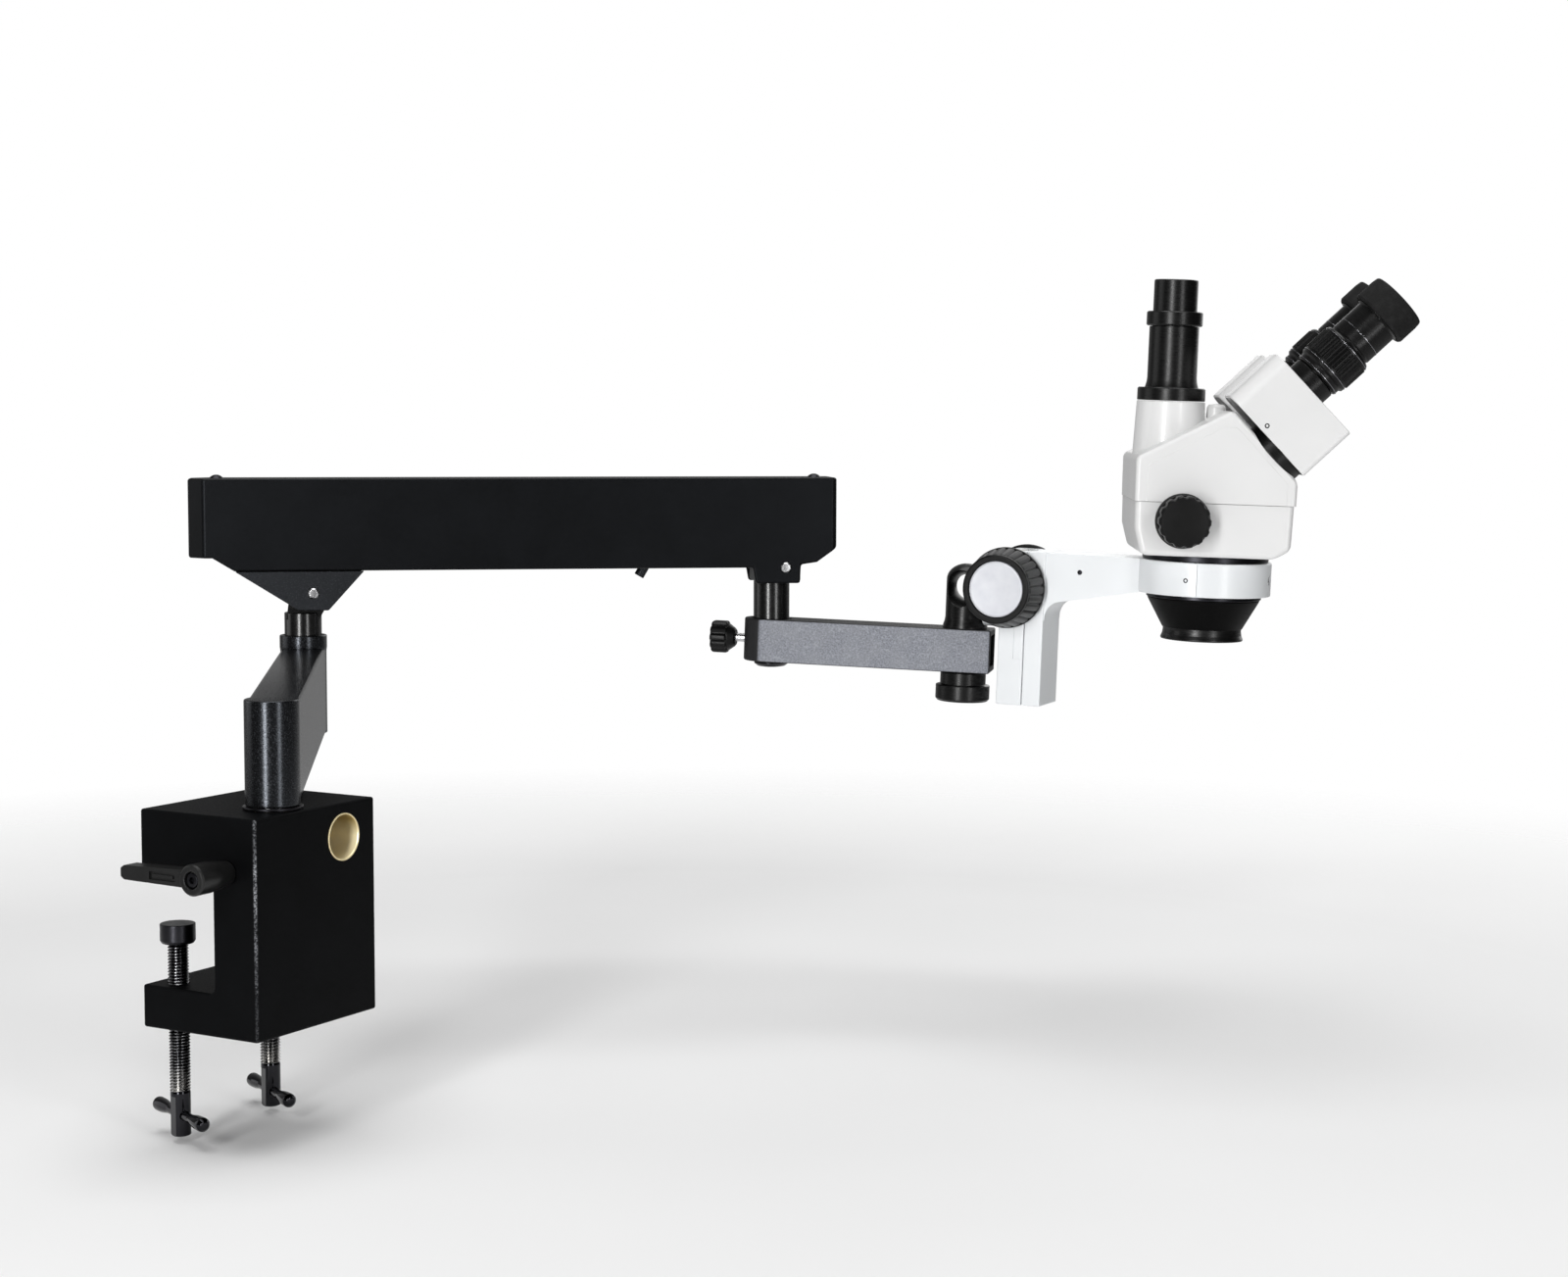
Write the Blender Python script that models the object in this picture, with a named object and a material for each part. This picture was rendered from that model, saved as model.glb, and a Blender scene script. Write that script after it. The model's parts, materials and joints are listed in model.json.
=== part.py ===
"""Trinocular stereo microscope on a spring-balanced bench arm. Dimensions below are millimetres."""

import math

import bmesh
import bpy
from mathutils import Matrix, Vector

MM = 0.001

# clamp block: X along the table edge, Y into the table, Z up from the underside of the upper jaw
BLOCK_X, BLOCK_Y = (-52.0, 52.0), (-57.25, 26.25)
DECK, JAW_TOP, BLOCK_BOTTOM, SPINE_Y = 40.8, -59.2, -83.6, -26.25
SCREW_X, SCREW_Y, SCREW_R, SCREW_END = 38.7, 11.75, 6.0, -147.0
SOCKET_X, SOCKET_Z, SOCKET_R, SOCKET_DEPTH = 24.0, 21.2, 12.6, 56.0
LEVER_Z = 10.0
BAR_LONG, BAR_R, BAR_END_R = 64.0, 2.8, 4.2

# the three upright axes of the arm, in plan, and the heights above the block's top face
POST_A, POST_B, POST_C = (-13.5, -37.55), (255.1, 163.95), (458.5, -85.95)
POST_R = 12.5
ARM_HALF, ARM_LONG, ARM_TOP, BOSS_TOP, COLLAR_TOP = 15.5, 335.8, 60.0, 62.0, 69.1
HOUSING_HALF, HOUSING_TOP, HOUSING_LOW = 19.4, 175.5, 113.5
HOUSING_X = (-75.0, 365.2)
PIN_LEFT, PIN_RIGHT, LINK_RISE = (7.4, 98.5), (329.5, 113.6), 34.0
EXT_MID, EXT_HALF, EXT_DEEP, EXT_END, EXT_SAG = 62.4, 15.5, 14.9, 155.0, 1.9
EYE_X = 135.6

# focus mount: X towards the ring, Z up; head: X towards the eyepieces
MOUNT_TURN, HEAD_TURN = -12.1, 21.0
EYE_HOLE_Z, EYE_TOP, EYE_R, MOUNT_PIN_Z = 43.5, 59.4, 13.9, 26.0
FIXED_X, MOVING_X, RACK_Z, RACK_HALF = (30.5, 48.3), (48.7, 61.6), (-33.4, 71.2), 19.0
PINION = (36.0, 46.2)
RING_X, RING_R, RING_BORE, RING_Z = 166.2, 43.7, 38.2, (49.4, 71.4)
BODY_HALF, BODY_LOW, PARTING = 50.0, 77.0, 110.5
TOWER_X, ZOOM_AT = -27.7, (-22.0, 99.0)
PRISM_LONG, PRISM_DEEP, PRISM_HALF, PRISM_Y = (-123.8, -54.0), (130.6, 171.0), 22.0, 31.0
PRISM_ROUND, PRISM_CORNER = 15.0, 4.0
PRISM_PIVOT, EYEPIECE_X = -76.0, -94.1

for old in list(bpy.data.objects):
    bpy.data.objects.remove(old)

COLOURS = {
    "black paint": ((0.012, 0.012, 0.013, 1), 0.0, 0.45),
    "grey paint": ((0.16, 0.165, 0.18, 1), 0.0, 0.55),
    "white paint": ((0.82, 0.83, 0.84, 1), 0.0, 0.35),
    "black plastic": ((0.02, 0.02, 0.02, 1), 0.0, 0.4),
    "rubber": ((0.01, 0.01, 0.01, 1), 0.0, 0.8),
    "steel": ((0.6, 0.6, 0.6, 1), 1.0, 0.3),
    "chrome": ((0.8, 0.8, 0.82, 1), 1.0, 0.1),
    "brass": ((0.75, 0.55, 0.25, 1), 1.0, 0.3),
    "glass": ((0.7, 0.8, 0.85, 1), 0.0, 0.05),
}


def move(x, y, z):
    return Matrix.Translation((x * MM, y * MM, z * MM))


def turn(degrees, axis="Z"):
    return Matrix.Rotation(math.radians(degrees), 4, axis)


BASE = Matrix.Identity(4)
LOWER = move(*POST_A, DECK) @ turn(36.9)
SPRING = move(*POST_B, DECK) @ turn(-50.85)
UPPER = move(*POST_C, DECK)
EXTENSION = move(*POST_C, DECK + EXT_MID) @ turn(-70.9) @ turn(EXT_SAG, "Y")
EYE = EXTENSION @ move(EYE_X, 0, 0)
MOUNT = EYE @ turn(MOUNT_TURN)
HEAD = MOUNT @ move(RING_X, 0, 0) @ turn(HEAD_TURN)
SLOPE = HEAD @ turn(45, "Y")


def material(name):
    found = bpy.data.materials.get(name)
    if found:
        return found
    made = bpy.data.materials.new(name)
    made.use_nodes = True
    shader = made.node_tree.nodes["Principled BSDF"]
    colour, metallic, roughness = COLOURS[name]
    shader.inputs["Base Color"].default_value = colour
    shader.inputs["Metallic"].default_value = metallic
    shader.inputs["Roughness"].default_value = roughness
    made.diffuse_color = colour
    return made


class Piece:
    """One node. Its origin sits at pivot in the frame that its dimensions are given in."""

    def __init__(self, name, shape, frame, colour, pivot=(0, 0, 0)):
        self.name, self.frame, self.pivot, self.count = name, frame, Vector(pivot), 0
        self.object = self.build(name, shape)
        self.object.data.materials.append(material(colour))

    def build(self, name, shape):
        points, faces = shape
        mesh = bpy.data.meshes.new(name)
        bm = bmesh.new()
        corners = [bm.verts.new((Vector(p) - self.pivot) * MM) for p in points]
        for face in faces:
            bm.faces.new([corners[i] for i in face])
        bmesh.ops.recalc_face_normals(bm, faces=bm.faces)
        bm.to_mesh(mesh)
        bm.free()
        mesh.shade_smooth()
        mesh.set_sharp_from_angle(angle=math.radians(35))
        made = bpy.data.objects.new(name, mesh)
        bpy.context.scene.collection.objects.link(made)
        made.matrix_world = self.frame @ Matrix.Translation(self.pivot * MM)
        return made

    def combine(self, shape, operation):
        self.count += 1
        tool = self.build(f"{self.name}_tool{self.count}", shape)
        tool.hide_render = True
        tool.display_type = "WIRE"
        boolean = self.object.modifiers.new(f"{operation}{self.count}", "BOOLEAN")
        boolean.operation, boolean.object, boolean.solver = operation, tool, "EXACT"
        return tool

    def cut(self, shape):
        self.combine(shape, "DIFFERENCE")
        return self

    def join(self, shape):
        self.combine(shape, "UNION")
        return self

    def cut_upright(self, shape, frame):
        """Cuts with a tool that stands in another frame."""
        tool = self.combine(shape, "DIFFERENCE")
        tool.matrix_world = frame @ Matrix.Translation(self.pivot * MM)
        return self

    def soften(self, width, steps=1, angle=40):
        bevel = self.object.modifiers.new("edges", "BEVEL")
        bevel.width, bevel.segments = width * MM, steps
        bevel.limit_method, bevel.angle_limit = "ANGLE", math.radians(angle)
        return self


def place(a, b, h, axis):
    return {"X": (h, a, b), "Y": (a, h, b), "Z": (a, b, h)}[axis]


def lathe(profile, axis="Z", at=(0, 0, 0), steps=22):
    """A closed outline of (radius, height) turned about an axis through at."""
    points, faces, rings = [], [], []
    for radius, height in profile:
        if radius < 1e-6:
            rings.append([len(points)])
            points.append(place(0, 0, height, axis))
            continue
        rings.append([len(points) + i for i in range(steps)])
        for i in range(steps):
            angle = 2 * math.pi * i / steps
            a, b = radius * math.cos(angle), radius * math.sin(angle)
            points.append(place(a, b, height, axis))
    for first, second in zip(rings, rings[1:] + rings[:1]):
        for i in range(steps):
            j = (i + 1) % steps
            face = [first[i % len(first)], first[j % len(first)]]
            face += [second[j % len(second)], second[i % len(second)]]
            face = list(dict.fromkeys(face))
            if len(face) > 2:
                faces.append(face)
    return [tuple(Vector(p) + Vector(at)) for p in points], faces


def rod(radius, low, high, axis="Z", at=(0, 0, 0), steps=22):
    return lathe([(0, low), (radius, low), (radius, high), (0, high)], axis, at, steps)


def tube(outer, inner, low, high, axis="Z", at=(0, 0, 0), steps=22):
    outline = [(inner, low), (outer, low), (outer, high), (inner, high)]
    return lathe(outline, axis, at, steps)


def slab(outline, low, high, axis="Y"):
    """An outline pushed along an axis; it is given in the other two directions, in order."""
    count = len(outline)
    points = [place(a, b, h, axis) for h in (low, high) for a, b in outline]
    faces = [list(range(count)), list(range(count, 2 * count))]
    for i in range(count):
        j = (i + 1) % count
        faces.append([i, j, count + j, count + i])
    return points, faces


def block(x, y, z):
    outline = [(x[0], y[0]), (x[1], y[0]), (x[1], y[1]), (x[0], y[1])]
    return slab(outline, *z, axis="Z")


def crowned(outline, low, high, rim):
    """A convex outline, counterclockwise from above, stood upright with its top edge chamfered."""
    count = len(outline)
    inset = []
    for i in range(count):
        before, here, after = (Vector(outline[k % count]) for k in (i - 1, i, i + 1))
        first, second = (here - before).normalized(), (after - here).normalized()
        inward = Vector((-first.y - second.y, first.x + second.x)).normalized()
        reach = rim / max(0.4, inward.dot(Vector((-first.y, first.x))))
        inset.append(tuple(here + inward * reach))
    points = [(x, y, low) for x, y in outline] + [(x, y, high - rim) for x, y in outline]
    points += [(x, y, high) for x, y in inset]
    faces = [list(range(count)), list(range(2 * count, 3 * count))]
    for ring in (0, count):
        for i in range(count):
            j = (i + 1) % count
            faces.append([ring + i, ring + j, ring + count + j, ring + count + i])
    return points, faces


def arc(cx, cy, radius, start, end, steps):
    turns = [math.radians(start + (end - start) * i / steps) for i in range(steps + 1)]
    return [(cx + radius * math.cos(t), cy + radius * math.sin(t)) for t in turns]


def fluted(outer, dip, count):
    """A scalloped outline for a knob."""
    total = count * 4
    found = []
    for i in range(total):
        angle = 2 * math.pi * i / total
        radius = outer - dip * (i % 4 == 2) - 0.35 * dip * (i % 2)
        found.append((radius * math.cos(angle), radius * math.sin(angle)))
    return found


def shifted(shape, dx=0, dy=0, dz=0):
    return [(x + dx, y + dy, z + dz) for x, y, z in shape[0]], shape[1]


def turned(shape, degrees, axis, at):
    spin = turn(degrees, axis).to_3x3()
    centre = Vector(at)
    return [tuple(spin @ (Vector(p) - centre) + centre) for p in shape[0]], shape[1]


def clamp():
    outline = [
        (BLOCK_Y[0], BLOCK_BOTTOM), (BLOCK_Y[1], BLOCK_BOTTOM), (BLOCK_Y[1], JAW_TOP),
        (SPINE_Y + 4, JAW_TOP), (SPINE_Y, JAW_TOP + 4), (SPINE_Y, 0.0),
        (BLOCK_Y[1], 0.0), (BLOCK_Y[1], DECK), (BLOCK_Y[0], DECK),
    ]
    body = Piece("clamp_block", slab(outline, *BLOCK_X, axis="X"), BASE, "black paint")
    body.soften(1.2)
    at = (*POST_A, 0)
    body.cut(rod(15.2, 5.5, DECK + 5, at=at))
    socket = (SOCKET_X, 0, SOCKET_Z)
    mouth = BLOCK_Y[0]
    body.cut(rod(14.8, mouth - 5, mouth + SOCKET_DEPTH + 2.3, "Y", socket))
    body.cut(rod(5.3, BLOCK_X[0] - 5, POST_A[0] - 12, "X", (0, POST_A[1], LEVER_Z), 16))
    for side in (-1, 1):
        at_screw = (side * SCREW_X, SCREW_Y, 0)
        body.cut(rod(SCREW_R + 0.3, BLOCK_BOTTOM - 5, JAW_TOP + 5, at=at_screw, steps=18))
    Piece("arm_bushing", tube(14.9, 12.8, 6.2, DECK - 0.3, at=at), BASE, "brass")
    sleeve = [(SOCKET_R, mouth - 0.6), (14.5, mouth - 0.6), (14.5, mouth + SOCKET_DEPTH + 2)]
    sleeve += [(0, mouth + SOCKET_DEPTH + 2), (0, mouth + SOCKET_DEPTH)]
    sleeve += [(SOCKET_R, mouth + SOCKET_DEPTH)]
    Piece("side_socket", lathe(sleeve, "Y", socket), BASE, "brass")


def clamp_screws():
    for number, side, height, heading in ((1, -1, -135.0, 66.6), (2, 1, -138.0, 61.6)):
        at = (side * SCREW_X, SCREW_Y, 0)
        pad = [(0, -25.0), (0, -28.9), (4.4, -28.9), (4.4, -36.2), (9.2, -36.2)]
        pad += [(10.0, -35.2), (10.0, -25.8), (9.2, -25.0)]
        Piece(f"clamp_pad_{number}", lathe(pad, at=at, steps=22), BASE, "steel", at)
        stem = [(0, -29.3), (3.6, -29.3), (4.1, -29.9), (4.1, -36.8), (SCREW_R, -37.8)]
        stem += [(SCREW_R, -121.0), (5.4, -122.0), (5.4, SCREW_END + 0.8)]
        stem += [(4.6, SCREW_END), (0, SCREW_END)]
        screw = Piece(f"clamp_screw_{number}", lathe(stem, at=at, steps=18), BASE, "chrome", at)
        hole = turned(rod(BAR_R + 0.3, -12, 12, "X", steps=12), heading, "Z", (0, 0, 0))
        screw.cut(shifted(hole, at[0], at[1], height))
        half, neck = BAR_LONG / 2, BAR_LONG / 2 - 17
        bar = [(0, -half), (2.6, -half + 0.4), (BAR_END_R, -half + 2.6)]
        bar += [(BAR_END_R, -neck - 4), (BAR_R, -neck), (BAR_R, neck)]
        bar += [(BAR_END_R, neck + 4), (BAR_END_R, half - 2.6), (2.6, half - 0.4), (0, half)]
        grip = turned(lathe(bar, "X", steps=12), heading, "Z", (0, 0, 0))
        grip = shifted(grip, at[0], at[1], height)
        Piece(f"t_bar_{number}", grip, BASE, "chrome", (at[0], at[1], height))


def lock_lever():
    at = (0, POST_A[1], LEVER_Z)
    face = BLOCK_X[0]
    pivot = (face, POST_A[1], LEVER_Z)
    hub = [(5.5, face - 0.8), (5.5, face - 22), (0, face - 22), (0, face - 25.5)]
    hub += [(4.5, face - 25.5), (4.5, face - 29.5), (8.2, face - 29.5), (8.8, face - 28.5)]
    hub += [(8.8, face - 17), (6.8, face - 0.8)]
    lever = Piece("lock_lever", lathe(hub, "X", at, 18), BASE, "black plastic", pivot)
    y, z = POST_A[1], LEVER_Z
    arm = [(y + 6.5, z - 4.6), (y + 50, z - 3.9), (y + 52, z - 2.6), (y + 52, z + 3.0)]
    arm += [(y + 50, z + 4.2), (y + 6.5, z + 5.2)]
    lever.join(slab(arm, face - 28.6, face - 18.5, axis="X"))
    lever.cut(block((face - 30, face - 27.6), (y + 13, y + 30), (z - 1.8, z + 2.2)))
    stem = rod(5.0, face - 21.5, POST_A[0] - 15.3, "X", at, 16)
    Piece("lever_stud", stem, BASE, "steel", pivot)


def lower_arm():
    capsule = arc(0, 0, ARM_HALF, 90, 270, 10) + arc(ARM_LONG, 0, ARM_HALF, -90, 90, 10)
    arm = Piece("lower_arm", slab(capsule, 2.1, ARM_TOP, axis="Z"), LOWER, "black paint")
    arm.soften(1.5, angle=60)
    arm.join(lathe([(0, 5), (15.4, 5), (15.4, BOSS_TOP - 1), (14.6, BOSS_TOP), (0, BOSS_TOP)]))
    collar = [(0, 20), (15.9, 20), (15.9, COLLAR_TOP - 1.2), (14.9, COLLAR_TOP), (0, COLLAR_TOP)]
    arm.join(lathe(collar, at=(ARM_LONG, 0, 0)))
    arm.cut(rod(POST_R + 0.3, -5, 46))
    arm.cut(rod(14.3, 14, COLLAR_TOP + 5, at=(ARM_LONG, 0, 0)))
    Piece("arm_washer", tube(17.0, POST_R + 0.4, 0.3, 1.8), LOWER, "steel")
    Piece("lower_arm_pin", rod(POST_R, 6.5 - DECK, 45.5), LOWER, "steel")
    Piece("post_bushing", tube(14.0, 12.8, 14.4, COLLAR_TOP - 0.4, at=(ARM_LONG, 0, 0)), LOWER, "brass")


def lower_post():
    x, z = PIN_LEFT
    top = z + LINK_RISE
    post = Piece("lower_post", rod(POST_R, 15.0, 84.5), SPRING, "black paint")
    tongue = [(-11, 80), (11, 80), (x + 8, 88), (x + 8, top)] + arc(x, top, 8, 0, 180, 8)[1:]
    tongue += [(-9, 95)]
    post.join(slab(tongue, -7.5, 7.5))
    post.cut(rod(3.9, -20, 20, "Y", (x, 0, z), 14))
    post.cut(rod(3.3, -20, 20, "Y", (x, 0, top), 14))


def spring_arm():
    x0, x1 = HOUSING_X
    pivot = (PIN_LEFT[0], 0, PIN_LEFT[1])
    plan = arc(x0 + 16, HOUSING_HALF - 16, 16, 90, 180, 5)
    plan += arc(x0 + 16, -HOUSING_HALF + 16, 16, 180, 270, 5)
    plan += arc(x1 - 5, -HOUSING_HALF + 5, 5, 270, 360, 2) + arc(x1 - 5, HOUSING_HALF - 5, 5, 0, 90, 2)
    low = HOUSING_LOW
    box = Piece("arm_housing", crowned(plan, 90, HOUSING_TOP, 2.0), SPRING, "black paint", pivot)
    below = [(x0 - 5, 80), (x0 - 5, 122.3), (-59, 122.3), (-44.6, low), (306.5, low)]
    below += [(308.5, 102.6), (339.3, 102.6), (340, 115.5), (351.2, 117.1), (x1 + 0.5, 127)]
    below += [(x1 + 5, 127), (x1 + 5, 80)]
    box.cut(slab(below, -30, 30))
    inner = HOUSING_HALF - 3.2
    hollow = arc(x0 + 16, inner - 12, 12, 90, 180, 3) + arc(x0 + 16, 12 - inner, 12, 180, 270, 3)
    hollow += [(x1 - 4, -inner), (x1 - 4, inner)]
    box.cut(slab(hollow, 117, 172.3, axis="Z"))
    box.cut(block((x0 + 14, 46), (0.6 - inner, inner - 0.6), (80, 119)))
    box.cut(block((298, x1 - 5), (0.6 - inner, inner - 0.6), (80, 119)))
    x, z = PIN_RIGHT
    box.cut(rod(3.9, -30, 30, "Y", (x, 0, z), 14))
    box.cut(turned(rod(3.9, -30, 16, at=(232, 0, 112), steps=12), 30, "Y", (232, 0, 112)))

    top = low - 0.3
    side = [(-44.2, top), (-2.4, 86.9), (17.4, 86.8), (41.2, top)]
    bracket = Piece("pivot_bracket", slab(side, -HOUSING_HALF, HOUSING_HALF), SPRING, "black paint", pivot)
    bracket.cut(slab([(-36, top + 5), (-36, 111.6), (-16.2, 99.2), (-16.2, 80), (50, 80), (50, top + 5)],
                     -14.6, 14.6))
    bracket.cut(rod(3.9, -30, 30, "Y", (PIN_LEFT[0], 0, PIN_LEFT[1]), 14))
    for name, (x, z) in (("pivot_pin_left", PIN_LEFT), ("pivot_pin_right", PIN_RIGHT)):
        Piece(name, rod(3.6, -20.4, 20.4, "Y", (x, 0, z), 14), SPRING, "steel", (x, 0, z))
    screw = turned(rod(3.5, -5.5, 14, at=(232, 0, 112), steps=12), 30, "Y", (232, 0, 112))
    Piece("tension_screw", screw, SPRING, "black paint", pivot)

    a = Vector((PIN_LEFT[0], PIN_LEFT[1] + LINK_RISE))
    b = Vector((PIN_RIGHT[0], PIN_RIGHT[1] + LINK_RISE))
    tilt = math.degrees(math.atan2(b.y - a.y, b.x - a.x))
    outline = arc(*a, 6.5, 90 + tilt, 270 + tilt, 6) + arc(*b, 6.5, tilt - 90, tilt + 90, 6)
    link = Piece("parallel_link", slab(outline, 8.3, 12.3), SPRING, "steel", (a.x, 0, a.y))
    for end in (a, b):
        link.join(rod(3.0, -7, 9, "Y", (end.x, 0, end.y), 12))
    Piece("balance_spring", coil(), SPRING, "steel", pivot)


def coil():
    """A helical spring along X, closed at both ends."""
    start, end, turns, radius, wire, per, ring = 70.0, 255.0, 12, 7.0, 1.3, 8, 4
    points, faces = [], []
    total = turns * per
    for i in range(total + 1):
        angle = 2 * math.pi * i / per
        x = start + (end - start) * i / total
        out = Vector((0, math.cos(angle), math.sin(angle)))
        for k in range(ring):
            spin = 2 * math.pi * k / ring
            p = Vector((x + wire * math.sin(spin), -6, 152)) + out * (radius + wire * math.cos(spin))
            points.append(tuple(p))
    for i in range(total):
        for k in range(ring):
            m = (k + 1) % ring
            a, b = i * ring, (i + 1) * ring
            faces.append([a + k, a + m, b + m, b + k])
    faces += [list(range(ring)), list(range(total * ring, (total + 1) * ring))]
    return points, faces


def upper_post():
    x, z = PIN_RIGHT
    pivot = (x, 0, z)
    top = z + LINK_RISE
    foot = block((308.5, 340.5), (-13.2, 13.2), (104.0, 121.0))
    yoke = Piece("end_yoke", foot, SPRING, "black paint", pivot)
    head = [(314, 118), (340.5, 118), (x + 8, top)] + arc(x, top, 8, 0, 180, 8)[1:]
    yoke.join(slab(head, -7.5, 7.5))
    yoke.cut(rod(3.9, -30, 30, "Y", (x, 0, z), 14))
    yoke.cut(rod(3.3, -30, 30, "Y", (x, 0, top), 14))
    yoke.cut(rod(POST_R + 0.3, 90, 112, at=(322.1, 0, 0)))
    outline = [(0, 111.5), (0, 47.3), (5.6, 47.3), (5.6, 51.6), (POST_R, 51.6), (POST_R, 111.5)]
    # the pin passes just inside the post's top, so the post is relieved around it
    post = Piece("upper_post", lathe(outline), UPPER, "black paint", (0, 0, 51.6))
    relief = rod(4.2, -30, 30, "Y", (x, 0, z), 14)
    post.cut_upright(shifted(relief, dz=51.6), SPRING @ Matrix.Translation((0, 0, -51.6 * MM)))
    cap = [(0, 46.9), (12.0, 46.9), (12.0, 45.8), (9.5, 43.9), (5, 43.2), (0, 43.2)]
    Piece("post_cap", lathe(cap), UPPER, "black plastic")


def extension_arm():
    outline = arc(-3.5, 0, EXT_HALF, 90, 270, 12) + [(EXT_END, -EXT_HALF), (EXT_END, EXT_HALF)]
    arm = Piece("extension_arm", slab(outline, -EXT_DEEP, EXT_DEEP, axis="Z"), EXTENSION, "grey paint")
    arm.soften(1.0, angle=60)
    arm.cut(block((32, EXT_END + 5), (-11.5, 11.5), (-10.9, 10.9)))
    arm.cut(rod(12.6, -30, 30, at=(EYE_X, 0, 0)))
    arm.cut_upright(rod(14.2, 51.2, 90), UPPER)
    arm.cut_upright(rod(6.6, 30, 60), UPPER)
    arm.cut(rod(3.3, -40, -10, "X", steps=12))
    Piece("extension_bushing", tube(13.9, 12.8, 51.9, 76.2), UPPER, "brass")

    at = (-19, 0, 0)
    stem = [(0, -15.2), (3.0, -15.2), (3.0, -25), (6.2, -25), (7.2, -26), (9.6, -30.3)]
    stem += [(9.6, -32.5), (0, -32.5)]
    knob = Piece("thumb_screw", lathe(stem, "X", steps=16), EXTENSION, "black plastic", at)
    knob.join(slab(fluted(11.4, 1.6, 10), -42.1, -30.6, axis="X"))


def swivel_post():
    dome = [(0, EYE_TOP)] + [(EYE_R * math.sin(math.radians(t)),
            EYE_TOP - 11 + 11 * math.cos(math.radians(t))) for t in (25, 48, 70, 90)]
    outline = [(0, -15.3), (12.3, -15.3), (12.3, 15.3), (15.0, 15.3), (15.0, 17.3), (EYE_R, 18.3)]
    post = Piece("swivel_post", lathe(outline + dome[::-1]), EYE, "black paint")
    across = turned(rod(8.3, -30, 30, "Y", (0, 0, EYE_HOLE_Z)), MOUNT_TURN, "Z", (0, 0, 0))
    post.cut(across)
    post.cut(turned(rod(6.5, 2.0, 30, "X", (0, 0, MOUNT_PIN_Z), 16), MOUNT_TURN, "Z", (0, 0, 0)))
    cap = [(0, -15.6), (15.7, -15.6), (15.7, -23.8), (18.6, -24.4), (18.6, -33.8), (17.2, -35.4)]
    cap += [(0, -35.4)]
    Piece("swivel_cap", lathe(cap), EYE, "black plastic")


def focus_mount():
    pivot = (0, 0, MOUNT_PIN_Z)
    low, high = RACK_Z
    body = Piece("focus_body", block(FIXED_X, (-RACK_HALF, RACK_HALF), (low - 0.2, high)), MOUNT,
                 "white paint", pivot)
    body.soften(0.8)
    body.join(rod(8.4, 14.6, 34, "X", (0, 0, MOUNT_PIN_Z), 16))
    rail = [(55, -8.2), (48.9, -8.2), (44.2, -11.2), (40.4, -11.2), (40.4, 11.2), (44.2, 11.2),
            (48.9, 8.2), (55, 8.2)]
    body.cut(slab(rail, low - 5, high + 5, axis="Z"))
    body.cut(rod(6.5, 10, 39.0, "X", (0, 0, MOUNT_PIN_Z), 16))
    body.cut(rod(4.9, -30, 30, "Y", (PINION[0], 0, PINION[1]), 14))
    Piece("mount_pin", rod(6.2, 2.6, 38.6, "X", (0, 0, MOUNT_PIN_Z), 16), MOUNT, "steel", pivot)

    x, z = PINION
    axle = (x, 0, z)
    shaft = Piece("pinion_shaft", rod(3.6, -40, 40, "Y", axle, 16), MOUNT, "steel", axle)
    shaft.join(shifted(slab(fluted(4.55, 0.5, 8), -5.5, 5.5, axis="Y"), x, 0, z))
    for name, side in (("focus_knob_left", -1), ("focus_knob_right", 1)):
        rim = [(3.9, 21.5), (27.4, 21.5), (27.4, 24.5), (23.4, 44.8), (22.4, 46.2), (19.2, 46.2)]
        rim += [(19.0, 44.6), (0, 44.6), (0, 40.4), (3.9, 40.4)]
        outline = [(r, side * y) for r, y in rim]
        Piece(name, lathe(outline, "Y", axle, 32), MOUNT, "black plastic", axle)


def focus_slide():
    low, high = RACK_Z
    x0, x1 = MOVING_X
    arm = Piece("holder_arm", block((x0, x1), (-RACK_HALF, RACK_HALF), (low, high)), MOUNT, "white paint")
    arm.soften(0.8)
    side = [(x0 + 4, 25), (x1 + 0.6, 28), (64.5, 33.5), (72, 38.5), (131, RING_Z[0])]
    side += [(150, RING_Z[0]), (150, high - 0.3), (x0 + 4, high - 0.3)]
    arm.join(slab(side, -17.6, 17.6))
    rail = [(x0 + 3, -5.6), (44.6, -10.4), (44.6, 10.4), (x0 + 3, 5.6)]
    arm.join(slab(rail, low + 0.9, high - 0.9, axis="Z"))
    arm.join(lathe([(0, RING_Z[0] - 0.3), (RING_R - 1, RING_Z[0] - 0.3), (RING_R, RING_Z[0] + 0.7),
                    (RING_R, RING_Z[1] - 1), (RING_R - 1, RING_Z[1]), (0, RING_Z[1])],
                   at=(RING_X, 0, 0), steps=44))
    arm.cut(rod(3.3, RING_X + 30, RING_X + 60, "X", (0, 0, 60.4), 12))
    arm.cut(rod(RING_BORE, RING_Z[0] - 9, RING_Z[1] + 9, at=(RING_X, 0, 0), steps=44))
    teeth, step = [], 3.0
    start, count = -30.0, 33
    for i in range(count):
        z = start + i * step
        teeth += [(41.7, z), (41.0, z + 0.35 * step), (41.0, z + 0.65 * step), (41.7, z + step)]
    teeth = list(dict.fromkeys((x, round(z, 4)) for x, z in teeth))
    outline = [(44.2, start)] + teeth + [(44.2, start + count * step)]
    Piece("focus_rack", slab(outline, -5, 5), MOUNT, "brass")
    screw = rod(3.0, RING_X + RING_BORE + 0.5, RING_X + RING_R - 0.6, "X", (0, 0, 60.4), 12)
    Piece("ring_screw", screw, MOUNT, "steel")


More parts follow.
